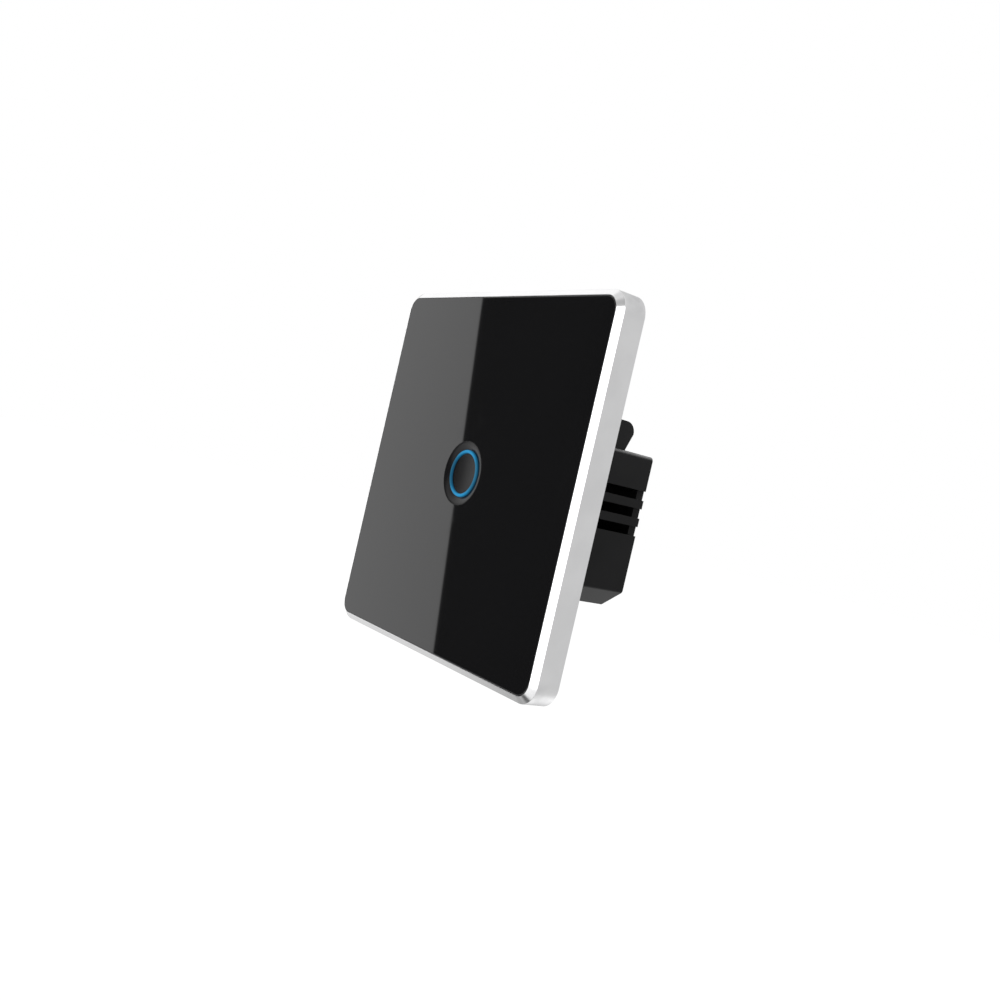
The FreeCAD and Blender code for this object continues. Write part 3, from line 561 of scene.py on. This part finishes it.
def cross_recess(mesh, head_radius, low, high, x, z):
    """Screw with a cross recess, cut by two tapered blades one after the other."""
    reach = head_radius * cross_reach
    for wide, tall in ((reach, cross_arm), (cross_arm, reach)):
        blade = slab("blade", (x - wide, low, z - tall), (x + wide, high, z + tall))
        for vertex in blade.vertices:
            if vertex.co.y > (low + high) / 2:
                vertex.co.x = x + (vertex.co.x - x) * cross_taper
                vertex.co.z = z + (vertex.co.z - z) * cross_taper
        mesh = carved(mesh, blade)
    return mesh


zinc = plated_steel("zinc_plate", (0.66, 0.67, 0.69), 0.34, (0.25, 1, 1))
screw_metal = plated_steel("screw_metal", (0.60, 0.61, 0.63), 0.26)
finish_solid("mounting_plate", zinc, "module", 0.08 * mm)

screws_low, screws_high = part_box("housing_screws")
sink_head = 2.3 * mm
sink_shank = 1.1 * mm
sink_x = screws_high.x - sink_head
sink_z = screws_high.z - sink_head
sink_front = screws_low.y
sink_end = screws_high.y
sink_steps = 48
sink_rim = 0.06 * mm
thread_rise = 0.55 * mm
thread_root = sink_shank - 0.18 * mm


def sink_screw(x, z):
    """Countersunk screw: cone head, threaded shank with a run-out tip."""
    neck = sink_front + sink_head - sink_shank
    outline = [(sink_head - sink_rim, sink_front), (sink_head, sink_front + sink_rim), (sink_shank, neck)]
    for turn in range(int((sink_end - neck - 0.4 * mm) / thread_rise)):
        start = neck + 0.2 * mm + turn * thread_rise
        outline += [(sink_shank, start), (thread_root, start + thread_rise * 0.5)]
    outline += [(sink_shank, sink_end - 0.25 * mm), (sink_shank * 0.75, sink_end)]
    whole = skin("sink_screw", [ring_of(radius, depth, x, z, sink_steps) for radius, depth in outline])
    return cross_recess(whole, sink_head, sink_front - 0.2 * mm, sink_front + 0.8 * mm, x, z)


def joined(name, meshes, sharp=35):
    """One mesh of several."""
    shape = bmesh.new()
    for mesh in meshes:
        shape.from_mesh(mesh)
    whole = bpy.data.meshes.new(name)
    shape.to_mesh(whole)
    shape.free()
    whole.shade_smooth()
    whole.set_sharp_from_angle(angle=math.radians(sharp))
    return whole


sink_meshes = [sink_screw(x, z) for x in (-sink_x, sink_x) for z in (-sink_z, sink_z)]
place_piece("housing_screws_made", joined("housing_screws_made", sink_meshes), screw_metal, "module",
            ["housing_screws"])


# Housing and its cover
# Black moulded shell that sinks into the wall box, with vents through both sides, cut corners and the
# barriers of the terminal bay; the cover closes its front. Both are shot in a spark-eroded mould.
housing_plastic = moulded("housing_plastic", (0.0078, 0.0078, 0.0081), 0.32, 0.16, 0.006, 0.13)
cover_plastic = moulded("cover_plastic", (0.016, 0.016, 0.017), 0.5, 0.16, 0.005, 0.4)
housing_piece = finish_solid("rear_housing", housing_plastic, "module", 0.3 * mm)
finish_solid("front_cover", cover_plastic, "module", 0.15 * mm)


# Terminals
# Four moulded cells, each with a brass cage that a captive slotted screw draws up on the wire.
# The cages are bent from strip and tapped; the screws are turned; the bars are tinned copper.
def bright_metal(name, tone, tarnish, rough=0.24):
    """Bare metal with blotches of tarnish and drawn lines."""
    finish, place = begin_finish(name, Metallic=1.0)
    blotch = place.noise(1.8 * mm, 4).rise(0.42, 0.72)
    drawn = place.stretched(1, 0.15, 1).noise(0.12 * mm, 2)
    feed(finish,
         Base_Color=(blotch * 0.6).between(tone + (1,), tarnish + (1,)),
         Roughness=rough + blotch * 0.16 + drawn * 0.08,
         Normal=drawn.relief(0.002 * mm))
    return finish


def thread_tree():
    """Nodes that sweep a round section along a helix and lay the helix along Y."""
    tree = bpy.data.node_groups.new("thread", "GeometryNodeTree")
    face = tree.interface
    face.new_socket("Geometry", in_out="OUTPUT", socket_type="NodeSocketGeometry")
    sizes = (("Radius", "NodeSocketFloat"), ("Height", "NodeSocketFloat"), ("Turns", "NodeSocketFloat"),
             ("Ridge", "NodeSocketFloat"), ("Steps", "NodeSocketInt"), ("Sides", "NodeSocketInt"),
             ("Start", "NodeSocketVector"), ("Metal", "NodeSocketMaterial"))
    for name, kind in sizes:
        face.new_socket(name, in_out="INPUT", socket_type=kind)
    put = tree.nodes.new("NodeGroupInput").outputs
    helix = tree.nodes.new("GeometryNodeCurveSpiral")
    section = tree.nodes.new("GeometryNodeCurvePrimitiveCircle")
    sweep = tree.nodes.new("GeometryNodeCurveToMesh")
    move = tree.nodes.new("GeometryNodeTransform")
    real = tree.nodes.new("GeometryNodeRealizeInstances")
    paint = tree.nodes.new("GeometryNodeSetMaterial")
    end = tree.nodes.new("NodeGroupOutput")
    sweep.inputs["Fill Caps"].default_value = True
    move.inputs["Rotation"].default_value = (-math.pi / 2, 0, 0)
    links = (
        (put["Steps"], helix.inputs["Resolution"]), (put["Turns"], helix.inputs["Rotations"]),
        (put["Radius"], helix.inputs["Start Radius"]), (put["Radius"], helix.inputs["End Radius"]),
        (put["Height"], helix.inputs["Height"]), (put["Sides"], section.inputs["Resolution"]),
        (put["Ridge"], section.inputs["Radius"]), (helix.outputs[0], sweep.inputs["Curve"]),
        (section.outputs[0], sweep.inputs["Profile Curve"]), (sweep.outputs[0], move.inputs["Geometry"]),
        (put["Start"], move.inputs["Translation"]), (move.outputs[0], real.inputs[0]),
        (real.outputs[0], paint.inputs["Geometry"]), (put["Metal"], paint.inputs["Material"]),
        (paint.outputs[0], end.inputs[0]),
    )
    for source, target in links:
        tree.links.new(source, target)
    return tree


helix_nodes = thread_tree()


def grown(tree, **values):
    """Plain mesh that a tree makes with these values on its named inputs."""
    holder = bpy.data.objects.new("grown", bpy.data.meshes.new("grown"))
    bpy.context.scene.collection.objects.link(holder)
    growth = holder.modifiers.new("grow", "NODES")
    growth.node_group = tree
    sockets = {item.name: item.identifier for item in tree.interface.items_tree if item.in_out == "INPUT"}
    for name, value in values.items():
        growth[sockets[name]] = value
    holder.data.update()
    result = bpy.data.meshes.new_from_object(holder.evaluated_get(bpy.context.evaluated_depsgraph_get()))
    bpy.data.objects.remove(holder)
    return result


def coiled(radius, start, height, turns, ridge, metal, sides, steps):
    """Wire or thread wound round an axis along Y, from a start point towards the wall.

    The section has this many sides, and the helix this many steps in a turn.
    """
    return grown(helix_nodes, Radius=radius, Height=height, Turns=float(turns), Ridge=ridge, Steps=steps,
                 Sides=sides, Start=start, Metal=metal)


cell_plastic = moulded("cell_plastic", (0.014, 0.014, 0.015), 0.46, 0.18, 0.004, 0.36)
brass = bright_metal("brass", (0.74, 0.56, 0.27), (0.40, 0.27, 0.12))
tinned = bright_metal("tinned_copper", (0.66, 0.64, 0.60), (0.46, 0.40, 0.34), 0.3)
head_radius = 2.3 * mm
head_thick = 1.6 * mm
shank_radius = 1.75 * mm
thread_depth = 0.24 * mm
terminal_pitch = 0.6 * mm
slot_half = 0.35 * mm
slot_depth = 0.8 * mm
head_chamfer = 0.1 * mm
head_easing = 0.3 * mm
head_steps = 4
screw_steps = 64
terminal_steel = plated_steel("terminal_steel", (0.63, 0.64, 0.66), 0.22)
cell_pieces = []

for number in range(1, 5):
    screw_low, screw_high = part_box(f"terminal_screw_{number}")
    x, z = (screw_low.x + screw_high.x) / 2, (screw_low.z + screw_high.z) / 2
    head_front = screw_high.y - head_thick
    root = shank_radius - thread_depth
    outline = [(root * 0.8, screw_low.y), (root, screw_low.y + 0.2 * mm), (root, head_front),
               (head_radius - head_chamfer, head_front), (head_radius, head_front + head_chamfer)]
    for step in range(head_steps + 1):
        angle = math.pi / 2 * step / head_steps
        outline.append((head_radius - head_easing * (1 - math.cos(angle)),
                        screw_high.y - head_easing * (1 - math.sin(angle))))
    blank = skin("terminal_blank", [ring_of(radius, depth, x, z, screw_steps) for radius, depth in outline])
    slot = slab("driver_slot", (x - 3 * mm, screw_high.y - slot_depth, z - slot_half),
                (x + 3 * mm, screw_high.y + mm, z + slot_half))
    blank = carved(blank, slot)
    run = head_front - screw_low.y - 0.6 * mm
    ridge = coiled(root + 0.02 * mm, (x, screw_low.y + 0.3 * mm, z), run, run / terminal_pitch,
                   thread_depth - 0.03 * mm, terminal_steel, 4, 36)
    name = f"terminal_screw_{number}_made"
    place_piece(name, joined(name, [blank, ridge]), terminal_steel, f"screw_{number}",
                [f"terminal_screw_{number}"])
    cell = finish_solid(f"terminal_block_{number}", cell_plastic, "module", 0.12 * mm)
    cell_pieces.append(cell)
    finish_solid(f"terminal_clamp_{number}", brass, f"clamp_{number}", 0.1 * mm)
finish_solid("terminal_busbars", tinned, "module", 0.06 * mm)


# Touch side
# A board behind the glass reads the finger through a steel spring and lights the ring with eight lamps.
# The spring is wound wire, the guide clear acrylic, the shroud black; the radio stands on its own board.
def laminate(name, tone, trace_gap=1.1):
    """Board with solder mask: copper tracks, this many mm apart, show through as paler lines."""
    finish, place = begin_finish(name, IOR=1.5)
    wander = place.noise(9 * mm, 1) * 3.0
    across = (place.part("X") / (trace_gap * mm) + wander).through("FRACT")
    upright = (place.part("Z") / (trace_gap * 1.3 * mm) + wander).through("FRACT")
    patch = place.noise(5 * mm, 0).rise(0.49, 0.51)
    track_x = 1 - abs(across - 0.5).rise(0.16, 0.2)
    track_z = 1 - abs(upright - 0.5).rise(0.16, 0.2)
    track = track_x * patch + track_z * (1 - patch)
    paler = tuple(part * 1.7 for part in tone) + (1,)
    feed(finish,
         Base_Color=track.between(tone + (1,), paler),
         Roughness=0.24 + place.noise(2 * mm, 2) * 0.12,
         Normal=(track * 0.035 + place.noise(0.3 * mm, 2) * 0.01).relief(1.0 * mm))
    return finish


def clear_acrylic():
    """Clear guide with faint flow lines, frosted where it meets the glass."""
    finish, place = begin_finish("clear_acrylic", IOR=1.49, Transmission_Weight=0.85)
    frost_end = -3.05 * mm
    frost = 1 - place.part("Y").rise(frost_end - 0.15 * mm, frost_end + 0.15 * mm)
    feed(finish,
         Base_Color=place.noise(4 * mm, 2).between((0.80, 0.90, 0.97, 1), (0.90, 0.95, 1.0, 1)),
         Roughness=0.06 + frost * 0.4 + place.noise(1 * mm, 2) * 0.05,
         Normal=place.noise(1.5 * mm, 2).relief(0.004 * mm))
    return finish


def lamp_white():
    """White lamp body with a yellow, softly lit window."""
    finish, place = begin_finish("lamp_white", Emission_Strength=0.6)
    window = 2.4 * mm
    speck = place.noise(0.4 * mm, 2)
    lit = 1 - place.part("Y").rise(window, window + 0.08 * mm)
    feed(finish,
         Base_Color=lit.between(grey(0.82), (0.75, 0.72, 0.40, 1)),
         Emission_Color=lit.between(grey(0.0), (0.10, 0.45, 0.85, 1)),
         Roughness=0.25 + speck * 0.15,
         Normal=speck.relief(0.003 * mm))
    return finish


guide_wall = 1.25 * mm
shroud_wall = 1.15 * mm
wall_easing = 0.08 * mm
mask_green = laminate("mask_green", (0.010, 0.085, 0.034))
mask_radio = laminate("mask_radio", (0.010, 0.030, 0.075), 0.8)
shroud_plastic = moulded("shroud_plastic", (0.016, 0.016, 0.017), 0.6, 0.1, 0.003, 0.3)
chip_plastic = moulded("chip_plastic", (0.018, 0.018, 0.019), 0.55, 0.08, 0.003, 0.35)
spring_steel = bright_metal("spring_steel", (0.70, 0.70, 0.71), (0.50, 0.49, 0.48), 0.16)
can_metal = plated_steel("can_metal", (0.68, 0.68, 0.66), 0.28)
finish_solid("touch_board", mask_green, "module", 0.05 * mm)
finish_solid("radio_board", mask_radio, "module", 0.04 * mm)
finish_solid("radio_shield", can_metal, "module", 0.12 * mm)
finish_solid("touch_chip", chip_plastic, "module", 0.05 * mm)
finish_solid("board_socket", chip_plastic, "module", 0.08 * mm)
pin_plastic = moulded("pin_plastic", (0.022, 0.022, 0.023), 0.5)
finish_solid("board_pins", pin_plastic, "module", 0.06 * mm)
finish_solid("status_leds", lamp_white(), "module", 0.08 * mm)

spring_low, spring_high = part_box("touch_spring")
spring_wire = 0.24 * mm
spring_radius = spring_high.x - 0.26 * mm
spring_length = spring_high.y - spring_low.y - 2.1 * spring_wire
spring_mesh = coiled(spring_radius, (0, spring_low.y + 1.05 * spring_wire, 0), spring_length, 3, spring_wire,
                     spring_steel, 12, 64)
place_piece("spring_made", joined("spring_made", [spring_mesh], 60), spring_steel, "module",
            ["touch_spring"])

sleeves = (("light_guide", "guide_made", clear_acrylic(), "clear_acrylic", guide_wall),
           ("light_shroud", "shroud_made", shroud_plastic, "black_moulding", shroud_wall))
for node, name, finish, slot, wall in sleeves:
    low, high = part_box(node)
    outer, inner = high.x, high.x - wall
    outline = [(inner, low.y + wall_easing), (inner + wall_easing, low.y), (outer - wall_easing, low.y),
               (outer, low.y + wall_easing), (outer, high.y - wall_easing), (outer - wall_easing, high.y),
               (inner + wall_easing, high.y), (inner, high.y - wall_easing)]
    rings = [ring_of(radius, depth) for radius, depth in outline]
    place_piece(name, skin(name, rings, looped=True), finish, "module", [node])


# Power side
# The larger board in the back of the housing carries the relay, the small transformer and the filter.
# Its parts are bought in and soldered: their windings, cans and coats are made as the real ones are.
def enamelled_wire():
    """Copper wire under clear enamel, laid in turns across the depth."""
    finish, place = begin_finish("enamelled_wire", Metallic=1.0, Coat_Roughness=0.1)
    turn_to_turn = 0.22 * mm
    lay = (place.part("Y") * (2 * math.pi / turn_to_turn)).through("SINE")
    shade = place.noise(1.5 * mm, 3)
    feed(finish,
         Base_Color=shade.between((0.42, 0.15, 0.05, 1), (0.66, 0.29, 0.12, 1)),
         Roughness=0.26 + shade * 0.12,
         Coat_Weight=0.5 + shade * 0.3,
         Normal=lay.relief(0.02 * mm))
    return finish


def ferrite():
    """Sintered ferrite: dark, dull and faintly pitted, with small chips along its edges."""
    finish, place = begin_finish("ferrite", Specular_IOR_Level=0.4)
    pits = place.cells(0.5 * mm).rise(0.05, 0.35)
    chipped = on_edges(place) * place.noise(0.8 * mm, 2).rise(0.5, 0.6)
    feed(finish,
         Base_Color=(chipped * 0.6).between(pits.between(grey(0.018), (0.045, 0.044, 0.047, 1)), grey(0.11)),
         Roughness=0.55 + pits * 0.2,
         Normal=pits.relief(0.012 * mm))
    return finish


def sleeve():
    """Shrunk plastic sleeve, dark blue, with a pale stripe down one side and a bare aluminium top."""
    sleeve_end, stripe_from = 21.35 * mm, 9.6 * mm
    finish, place = begin_finish("sleeve", IOR=1.5)
    top = place.part("Y").rise(sleeve_end, sleeve_end + 0.05 * mm)
    stripe = place.part("X").rise(stripe_from, stripe_from + 0.1 * mm) * (1 - top)
    wrinkle = place.stretched(1, 0.3, 1).noise(1.0 * mm, 3)
    tone = wrinkle.between((0.010, 0.018, 0.05, 1), (0.016, 0.030, 0.08, 1))
    feed(finish,
         Base_Color=top.between(stripe.between(tone, grey(0.55)), grey(0.62)),
         Metallic=top,
         Roughness=0.22 + wrinkle * 0.14,
         Normal=wrinkle.relief(0.02 * mm))
    return finish


def dipped_coat():
    """Blue epoxy coat, run and thick at the rim, with small pinholes."""
    finish, place = begin_finish("dipped_coat", IOR=1.55)
    runs = place.noise(2.2 * mm, 2)
    holes = place.cells(0.9 * mm).rise(0.03, 0.07)
    feed(finish,
         Base_Color=runs.between((0.012, 0.070, 0.24, 1), (0.022, 0.11, 0.33, 1)),
         Roughness=0.28 + runs * 0.1,
         Normal=(runs * 0.5 + holes * 0.12).relief(0.10 * mm))
    return finish


wire = enamelled_wire()
iron = plated_steel("relay_iron", (0.56, 0.56, 0.58), 0.3, (1, 0.2, 1))
relay_plastic = moulded("relay_plastic", (0.014, 0.016, 0.020), 0.28, 0.3, 0.002)
core_ferrite = ferrite()
finish_solid("power_board", mask_green, "module", 0.05 * mm)
finish_solid("relay_base", relay_plastic, "module", 0.08 * mm)
finish_solid("relay_case", relay_plastic, "module", 0.2 * mm)
finish_solid("relay_yoke", iron, "module", 0.08 * mm)
finish_solid("relay_armature", iron, "relay_rocker", 0.05 * mm)
finish_solid("relay_contact", iron, "module", 0.05 * mm)
finish_solid("transformer_core", core_ferrite, "module", 0.15 * mm)
finish_solid("transformer_winding", wire, "module", 0.25 * mm)
film_plastic = moulded("film_case", (0.62, 0.45, 0.10), 0.34, 0.3, 0.002)
finish_solid("suppression_capacitor", film_plastic, "module", 0.2 * mm)
finish_solid("power_chip", chip_plastic, "module", 0.05 * mm)


def round_part(name, outline, x, z, steps=96):
    """Turned form from pairs of radius and depth, round a line along Y."""
    return skin(name, [ring_of(radius, depth, x, z, steps) for radius, depth in outline], sharp=40)


can_low, can_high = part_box("bulk_capacitor")
can_x, can_z = (can_low.x + can_high.x) / 2, (can_low.z + can_high.z) / 2
can_radius = can_high.x - can_x
crimp_at = can_low.y + 1.8 * mm
crimp_depth = 0.4 * mm
crimp_half = 0.55 * mm
crimp_steps = 8
outline = [(can_radius - 0.5 * mm, can_low.y), (can_radius - 0.1 * mm, can_low.y + 0.15 * mm),
           (can_radius, can_low.y + 0.5 * mm)]
for step in range(crimp_steps + 1):
    angle = math.pi * step / crimp_steps
    outline.append((can_radius - crimp_depth * math.sin(angle), crimp_at - crimp_half * math.cos(angle)))
outline += [(can_radius, can_high.y - 0.5 * mm), (can_radius - 0.15 * mm, can_high.y - 0.12 * mm),
            (can_radius - 0.55 * mm, can_high.y), (can_radius - 0.8 * mm, can_high.y - 0.25 * mm)]
can_mesh = round_part("can", outline, can_x, can_z)
place_piece("capacitor_made", can_mesh, sleeve(), "module", ["bulk_capacitor"])

disc_low, disc_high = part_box("varistor")
disc_middle = (disc_low + disc_high) / 2
disc_radius = (disc_high.z - disc_low.z) / 2
disc_half = (disc_high.x - disc_low.x) / 2
disc_face = 0.72
disc_fullness = 0.7
disc_steps = 12
disc_rings = []
for step in range(disc_steps + 1):
    angle = math.pi * (step / disc_steps - 0.5)
    swell = math.copysign(abs(math.sin(angle)) ** disc_fullness, math.sin(angle))
    radius = disc_radius * (disc_face + (1 - disc_face) * math.cos(angle) ** disc_fullness)
    ring = ring_of(radius, disc_half * swell, 0, 0, 72)
    disc_rings.append([disc_middle + Vector((point.y, point.x, point.z)) for point in ring])
place_piece("varistor_made", skin("disc", disc_rings, sharp=50), dipped_coat(), "module",
            ["varistor"])

fuse_low, fuse_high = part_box("fuse")
fuse_x, fuse_z = (fuse_low.x + fuse_high.x) / 2, (fuse_low.z + fuse_high.z) / 2
fuse_radius = fuse_high.x - fuse_x
fuse_crown = 0.6 * mm
fuse_steps = 6
fuse_plastic = moulded("fuse_case", (0.17, 0.075, 0.04), 0.34, 0.3, 0.002)
fuse_outline = [(fuse_radius - 0.3 * mm, fuse_low.y), (fuse_radius, fuse_low.y + 0.3 * mm)]
for step in range(fuse_steps + 1):
    angle = math.pi / 2 * step / fuse_steps
    fuse_outline.append((fuse_radius - fuse_crown * (1 - math.cos(angle)),
                         fuse_high.y - fuse_crown * (1 - math.sin(angle))))
fuse_mesh = round_part("fuse_body", fuse_outline, fuse_x, fuse_z, 72)
place_piece("fuse_made", fuse_mesh, fuse_plastic, "module", ["fuse"])

coil_low, coil_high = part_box("relay_coil")
coil_x, coil_z = (coil_low.x + coil_high.x) / 2, (coil_low.z + coil_high.z) / 2
flange = 0.8 * mm
flange_half = coil_high.x - coil_x
flange_corner = 0.8 * mm
flange_easing = 0.3 * mm
bobbin = moulded("bobbin", (0.60, 0.58, 0.52), 0.4, 0.3, 0.002)
turn_wire = 0.11 * mm
turn_room = 2.05
wound_low, wound_high = coil_low.y + flange, coil_high.y - flange
wound = wound_high - wound_low
lay_radius = 3.9 * mm - turn_wire
bore = 2.06 * mm
bore_steps = 96
coil_shift = Vector((coil_x, 0, coil_z))
coil_parts = []
for low, high in ((coil_low.y, wound_low), (wound_high, coil_high.y)):
    rings = [square_ring(flange_half - flange_easing, flange_corner, low, 16, 8),
             square_ring(flange_half, mm, low + flange_easing, 16, 8),
             square_ring(flange_half, mm, high - flange_easing, 16, 8),
             square_ring(flange_half - flange_easing, flange_corner, high, 16, 8),
             ring_of(bore, high, 0, 0, bore_steps), ring_of(bore, low, 0, 0, bore_steps)]
    rings = [[point + coil_shift for point in ring] for ring in rings]
    coil_parts.append(skin("flange", rings, looped=True))
place_piece("relay_bobbin", joined("relay_bobbin", coil_parts), bobbin, "module",
            ["relay_coil"])
lay_outline = [(bore, wound_low), (lay_radius, wound_low), (lay_radius, wound_high), (bore, wound_high)]
lay_rings = [ring_of(radius, depth, coil_x, coil_z, bore_steps) for radius, depth in lay_outline]
core_tube = skin("lay", lay_rings, looped=True)
turns = coiled(lay_radius, (coil_x, wound_low + turn_wire, coil_z), wound - 2 * turn_wire,
               int(wound / (turn_room * turn_wire)), turn_wire, wire, 5, 48)
place_piece("relay_winding", joined("relay_winding", [core_tube, turns]), wire, "module",
            ["relay_coil"])

choke_low, choke_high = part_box("filter_choke")
choke_x, choke_z = (choke_low.x + choke_high.x) / 2, (choke_low.z + choke_high.z) / 2
choke_radius = choke_high.x - choke_x
choke_neck = choke_radius - 0.5 * mm
choke_easing = 0.15 * mm
choke_wire = 0.2 * mm
choke_run_low, choke_run_high = choke_low.y + flange, choke_high.y - flange
choke_run = choke_run_high - choke_run_low
choke_outline = [(choke_radius - choke_easing, choke_low.y), (choke_radius, choke_low.y + choke_easing),
                 (choke_radius, choke_run_low), (choke_neck - choke_wire, choke_run_low),
                 (choke_neck - choke_wire, choke_run_high), (choke_radius, choke_run_high),
                 (choke_radius, choke_high.y - choke_easing), (choke_radius - choke_easing, choke_high.y)]
choke_mesh = round_part("choke_core", choke_outline, choke_x, choke_z, 64)
place_piece("choke_core", choke_mesh, core_ferrite, "module", ["filter_choke"])
choke_turns = coiled(choke_neck, (choke_x, choke_run_low + choke_wire, choke_z), choke_run - 2 * choke_wire,
                     int(choke_run / (turn_room * choke_wire)), choke_wire, wire, 6, 40)
place_piece("choke_winding", joined("choke_winding", [choke_turns]), wire, "module",
            ["filter_choke"])


# Studio
# Plain white surroundings: a pale floor below, a white surround, and softboxes in front and above.
# Glossy rays meet a dark flag and a white card in front, which the glass mirrors either side of a
# slanted edge, and a wall that is dimmer below and behind. Rays from the camera meet plain white.
floor_drop = 0.125
floor_half = 3
floor_thick = 0.01
floor_glow = 1.16
floor_seen = 0.8


def studio_floor():
    """Pale floor that the camera sees white, with the object's shadow kept."""
    material, place = begin_finish("studio_floor", Roughness=0.9)
    feed(material, Base_Color=place.noise(0.4, 1).between(grey(0.84), grey(0.86)))
    tree = material.node_tree
    glow = tree.nodes.new("ShaderNodeEmission")
    glow.inputs["Strength"].default_value = floor_glow
    path = tree.nodes.new("ShaderNodeLightPath")
    blend = tree.nodes.new("ShaderNodeMixShader")
    out = tree.nodes["Material Output"]
    seen = Signal(path.outputs["Is Camera Ray"]) * floor_seen
    tree.links.new(seen.socket, blend.inputs[0])
    tree.links.new(tree.nodes["Principled BSDF"].outputs[0], blend.inputs[1])
    tree.links.new(glow.outputs[0], blend.inputs[2])
    tree.links.new(blend.outputs[0], out.inputs["Surface"])
    return material


floor_mesh = slab("floor", (-floor_half, -floor_half, -floor_drop - floor_thick),
                  (floor_half, floor_half, -floor_drop))
floor_mesh.materials.append(studio_floor())
floor = bpy.data.objects.new("floor", floor_mesh)
bpy.context.scene.collection.objects.link(floor)
floor.visible_glossy = False

eye = Vector((0.215134, -0.145016, -0.000718))
forward = Vector((-0.81938, 0.57311, -0.01315)).normalized()
upward = Vector((-0.13941, -0.17697, 0.97429)).normalized()
lens = 40.117
edge_top = Vector((-8.17 * mm, glass_front, 41.17 * mm))
edge_foot = Vector((5.25 * mm, glass_front, -41.56 * mm))
soft_level = 0.62
wall_level = 1.15
far_level, far_lift = 0.66, 0.1
below_way, below_lift = (0.0, 0.57, -0.82), 0.5
card_level, card_fall = 1.25, 0.8
flag_level = 0.05


def along(way, direction):
    """How far the way that a ray goes points in one direction."""
    return way.node("ShaderNodeVectorMath", {"operation": "DOT_PRODUCT"}, {0: way, 1: direction}, 1)


def studio_world():
    """Surround whose level depends on the way that a glossy ray goes: x to the right, y back, z up."""
    world = bpy.data.worlds.new("studio")
    world.use_nodes = True
    tree = world.node_tree
    way = Signal(tree.nodes.new("ShaderNodeTexCoord").outputs["Generated"])
    path = tree.nodes.new("ShaderNodeLightPath")
    x, y, z = way.part("X"), way.part("Y"), way.part("Z")
    forwards = (-y).rise(-0.1, 0.1)
    turned = (-x).rise(-0.06, 0.1)

    # The plane between flag and card goes through the camera's mirror image and the slanted edge.
    mirrored = Vector((eye.x, 2 * glass_front - eye.y, eye.z))
    across = (edge_foot - mirrored).cross(edge_top - mirrored).normalized()
    side = along(way, across)
    white = side.rise(-0.0006, 0.0010)
    flag = forwards * (1 - white) * (1 - x.rise(0.16, 0.22)) * (1 - abs(z).rise(0.18, 0.26))

    # The wall is dimmer low down, and dimmest to the right, behind, above and below.
    low = (-z).rise(0.3, 0.5) * y.rise(-0.5, -0.2) * 0.36
    low = low + (-z).rise(0.54, 0.66) * turned * 0.34
    far = y.rise(0.15, 0.45).through("MAXIMUM", x.rise(0.55, 0.75))
    far = far.through("MAXIMUM", abs(z).rise(0.82, 0.92))
    far = far.through("MAXIMUM", y.rise(-0.15, 0.0) * (1 - abs(z).rise(0.3, 0.4)))
    wall = (wall_level - low) * (1 - far) + (abs(z) * far_lift + far_level) * far
    wall = wall + along(way, below_way).rise(0.86, 0.97) * below_lift

    # The card fades to the left, and the wall is darker towards the plate's right corners.
    near = forwards * white * (1 - abs(z).rise(0.3, 0.4)) * (1 - side.rise(0.3, 0.5)) * (1 - far)
    corners = (-y).rise(0.45, 0.6) * z.rise(0.4, 0.55) * 0.55
    corners = corners + (-y).rise(0.2, 0.4) * (-z).rise(0.6, 0.72) * turned * 0.86
    level = (near * (card_level - side * card_fall) + (1 - near) * wall) * (1 - corners)
    mirror = level * (1 - flag) + flag * flag_level

    seen = Signal(path.outputs["Is Camera Ray"])
    seen = seen.through("MAXIMUM", Signal(path.outputs["Is Transmission Ray"]))
    glossy = Signal(path.outputs["Is Glossy Ray"])
    strength = seen + (1 - seen) * (glossy * mirror + (1 - glossy) * soft_level)
    back = tree.nodes["Background"]
    back.inputs["Color"].default_value = grey(1.0)
    tree.links.new(strength.socket, back.inputs["Strength"])
    return world


bpy.context.scene.world = studio_world()


def softbox(name, place, aim, width, height, watts):
    lamp_data = bpy.data.lights.new(name, "AREA")
    lamp_data.shape = "RECTANGLE"
    lamp_data.size, lamp_data.size_y = width, height
    lamp_data.energy = watts
    lamp = bpy.data.objects.new(name, lamp_data)
    lamp.location = place
    lamp.rotation_euler = (Vector(aim) - Vector(place)).to_track_quat("-Z", "Y").to_euler()
    bpy.context.scene.collection.objects.link(lamp)
    lamp.visible_camera = False
    return lamp


softbox("front_softbox", place=(0.20, -0.52, 0.05), aim=(0, 0, 0), width=0.4, height=0.6, watts=1.0)
overhead = softbox("top_softbox", place=(0.25, 0.05, 0.55), aim=(0, 0, 0), width=0.8, height=0.6, watts=1.2)
overhead.visible_glossy = False

# The small one lights the upper edges of the black housing; flags keep its light off all else.
crown = softbox("crown_softbox", place=(0.034, 0.060, 0.070), aim=(0.022, 0.02, 0.013),
                width=0.10, height=0.06, watts=0.09)
crown_lit = bpy.data.collections.new("crown_softbox_lit")
for piece in [housing_piece] + cell_pieces:
    crown_lit.objects.link(piece)
crown.light_linking.receiver_collection = crown_lit

camera_data = bpy.data.cameras.new("camera")
camera_data.sensor_width = 36.0
camera_data.lens = lens
camera_data.clip_start = 0.005
camera_data.clip_end = 20.0
camera = bpy.data.objects.new("camera", camera_data)
sideways = forward.cross(upward).normalized()
upward = sideways.cross(forward)
turn = Matrix((sideways, upward, -forward)).transposed().to_4x4()
camera.matrix_world = Matrix.Translation(eye) @ turn
bpy.context.scene.collection.objects.link(camera)
bpy.context.scene.camera = camera
bpy.context.scene.view_settings.view_transform = "Standard"
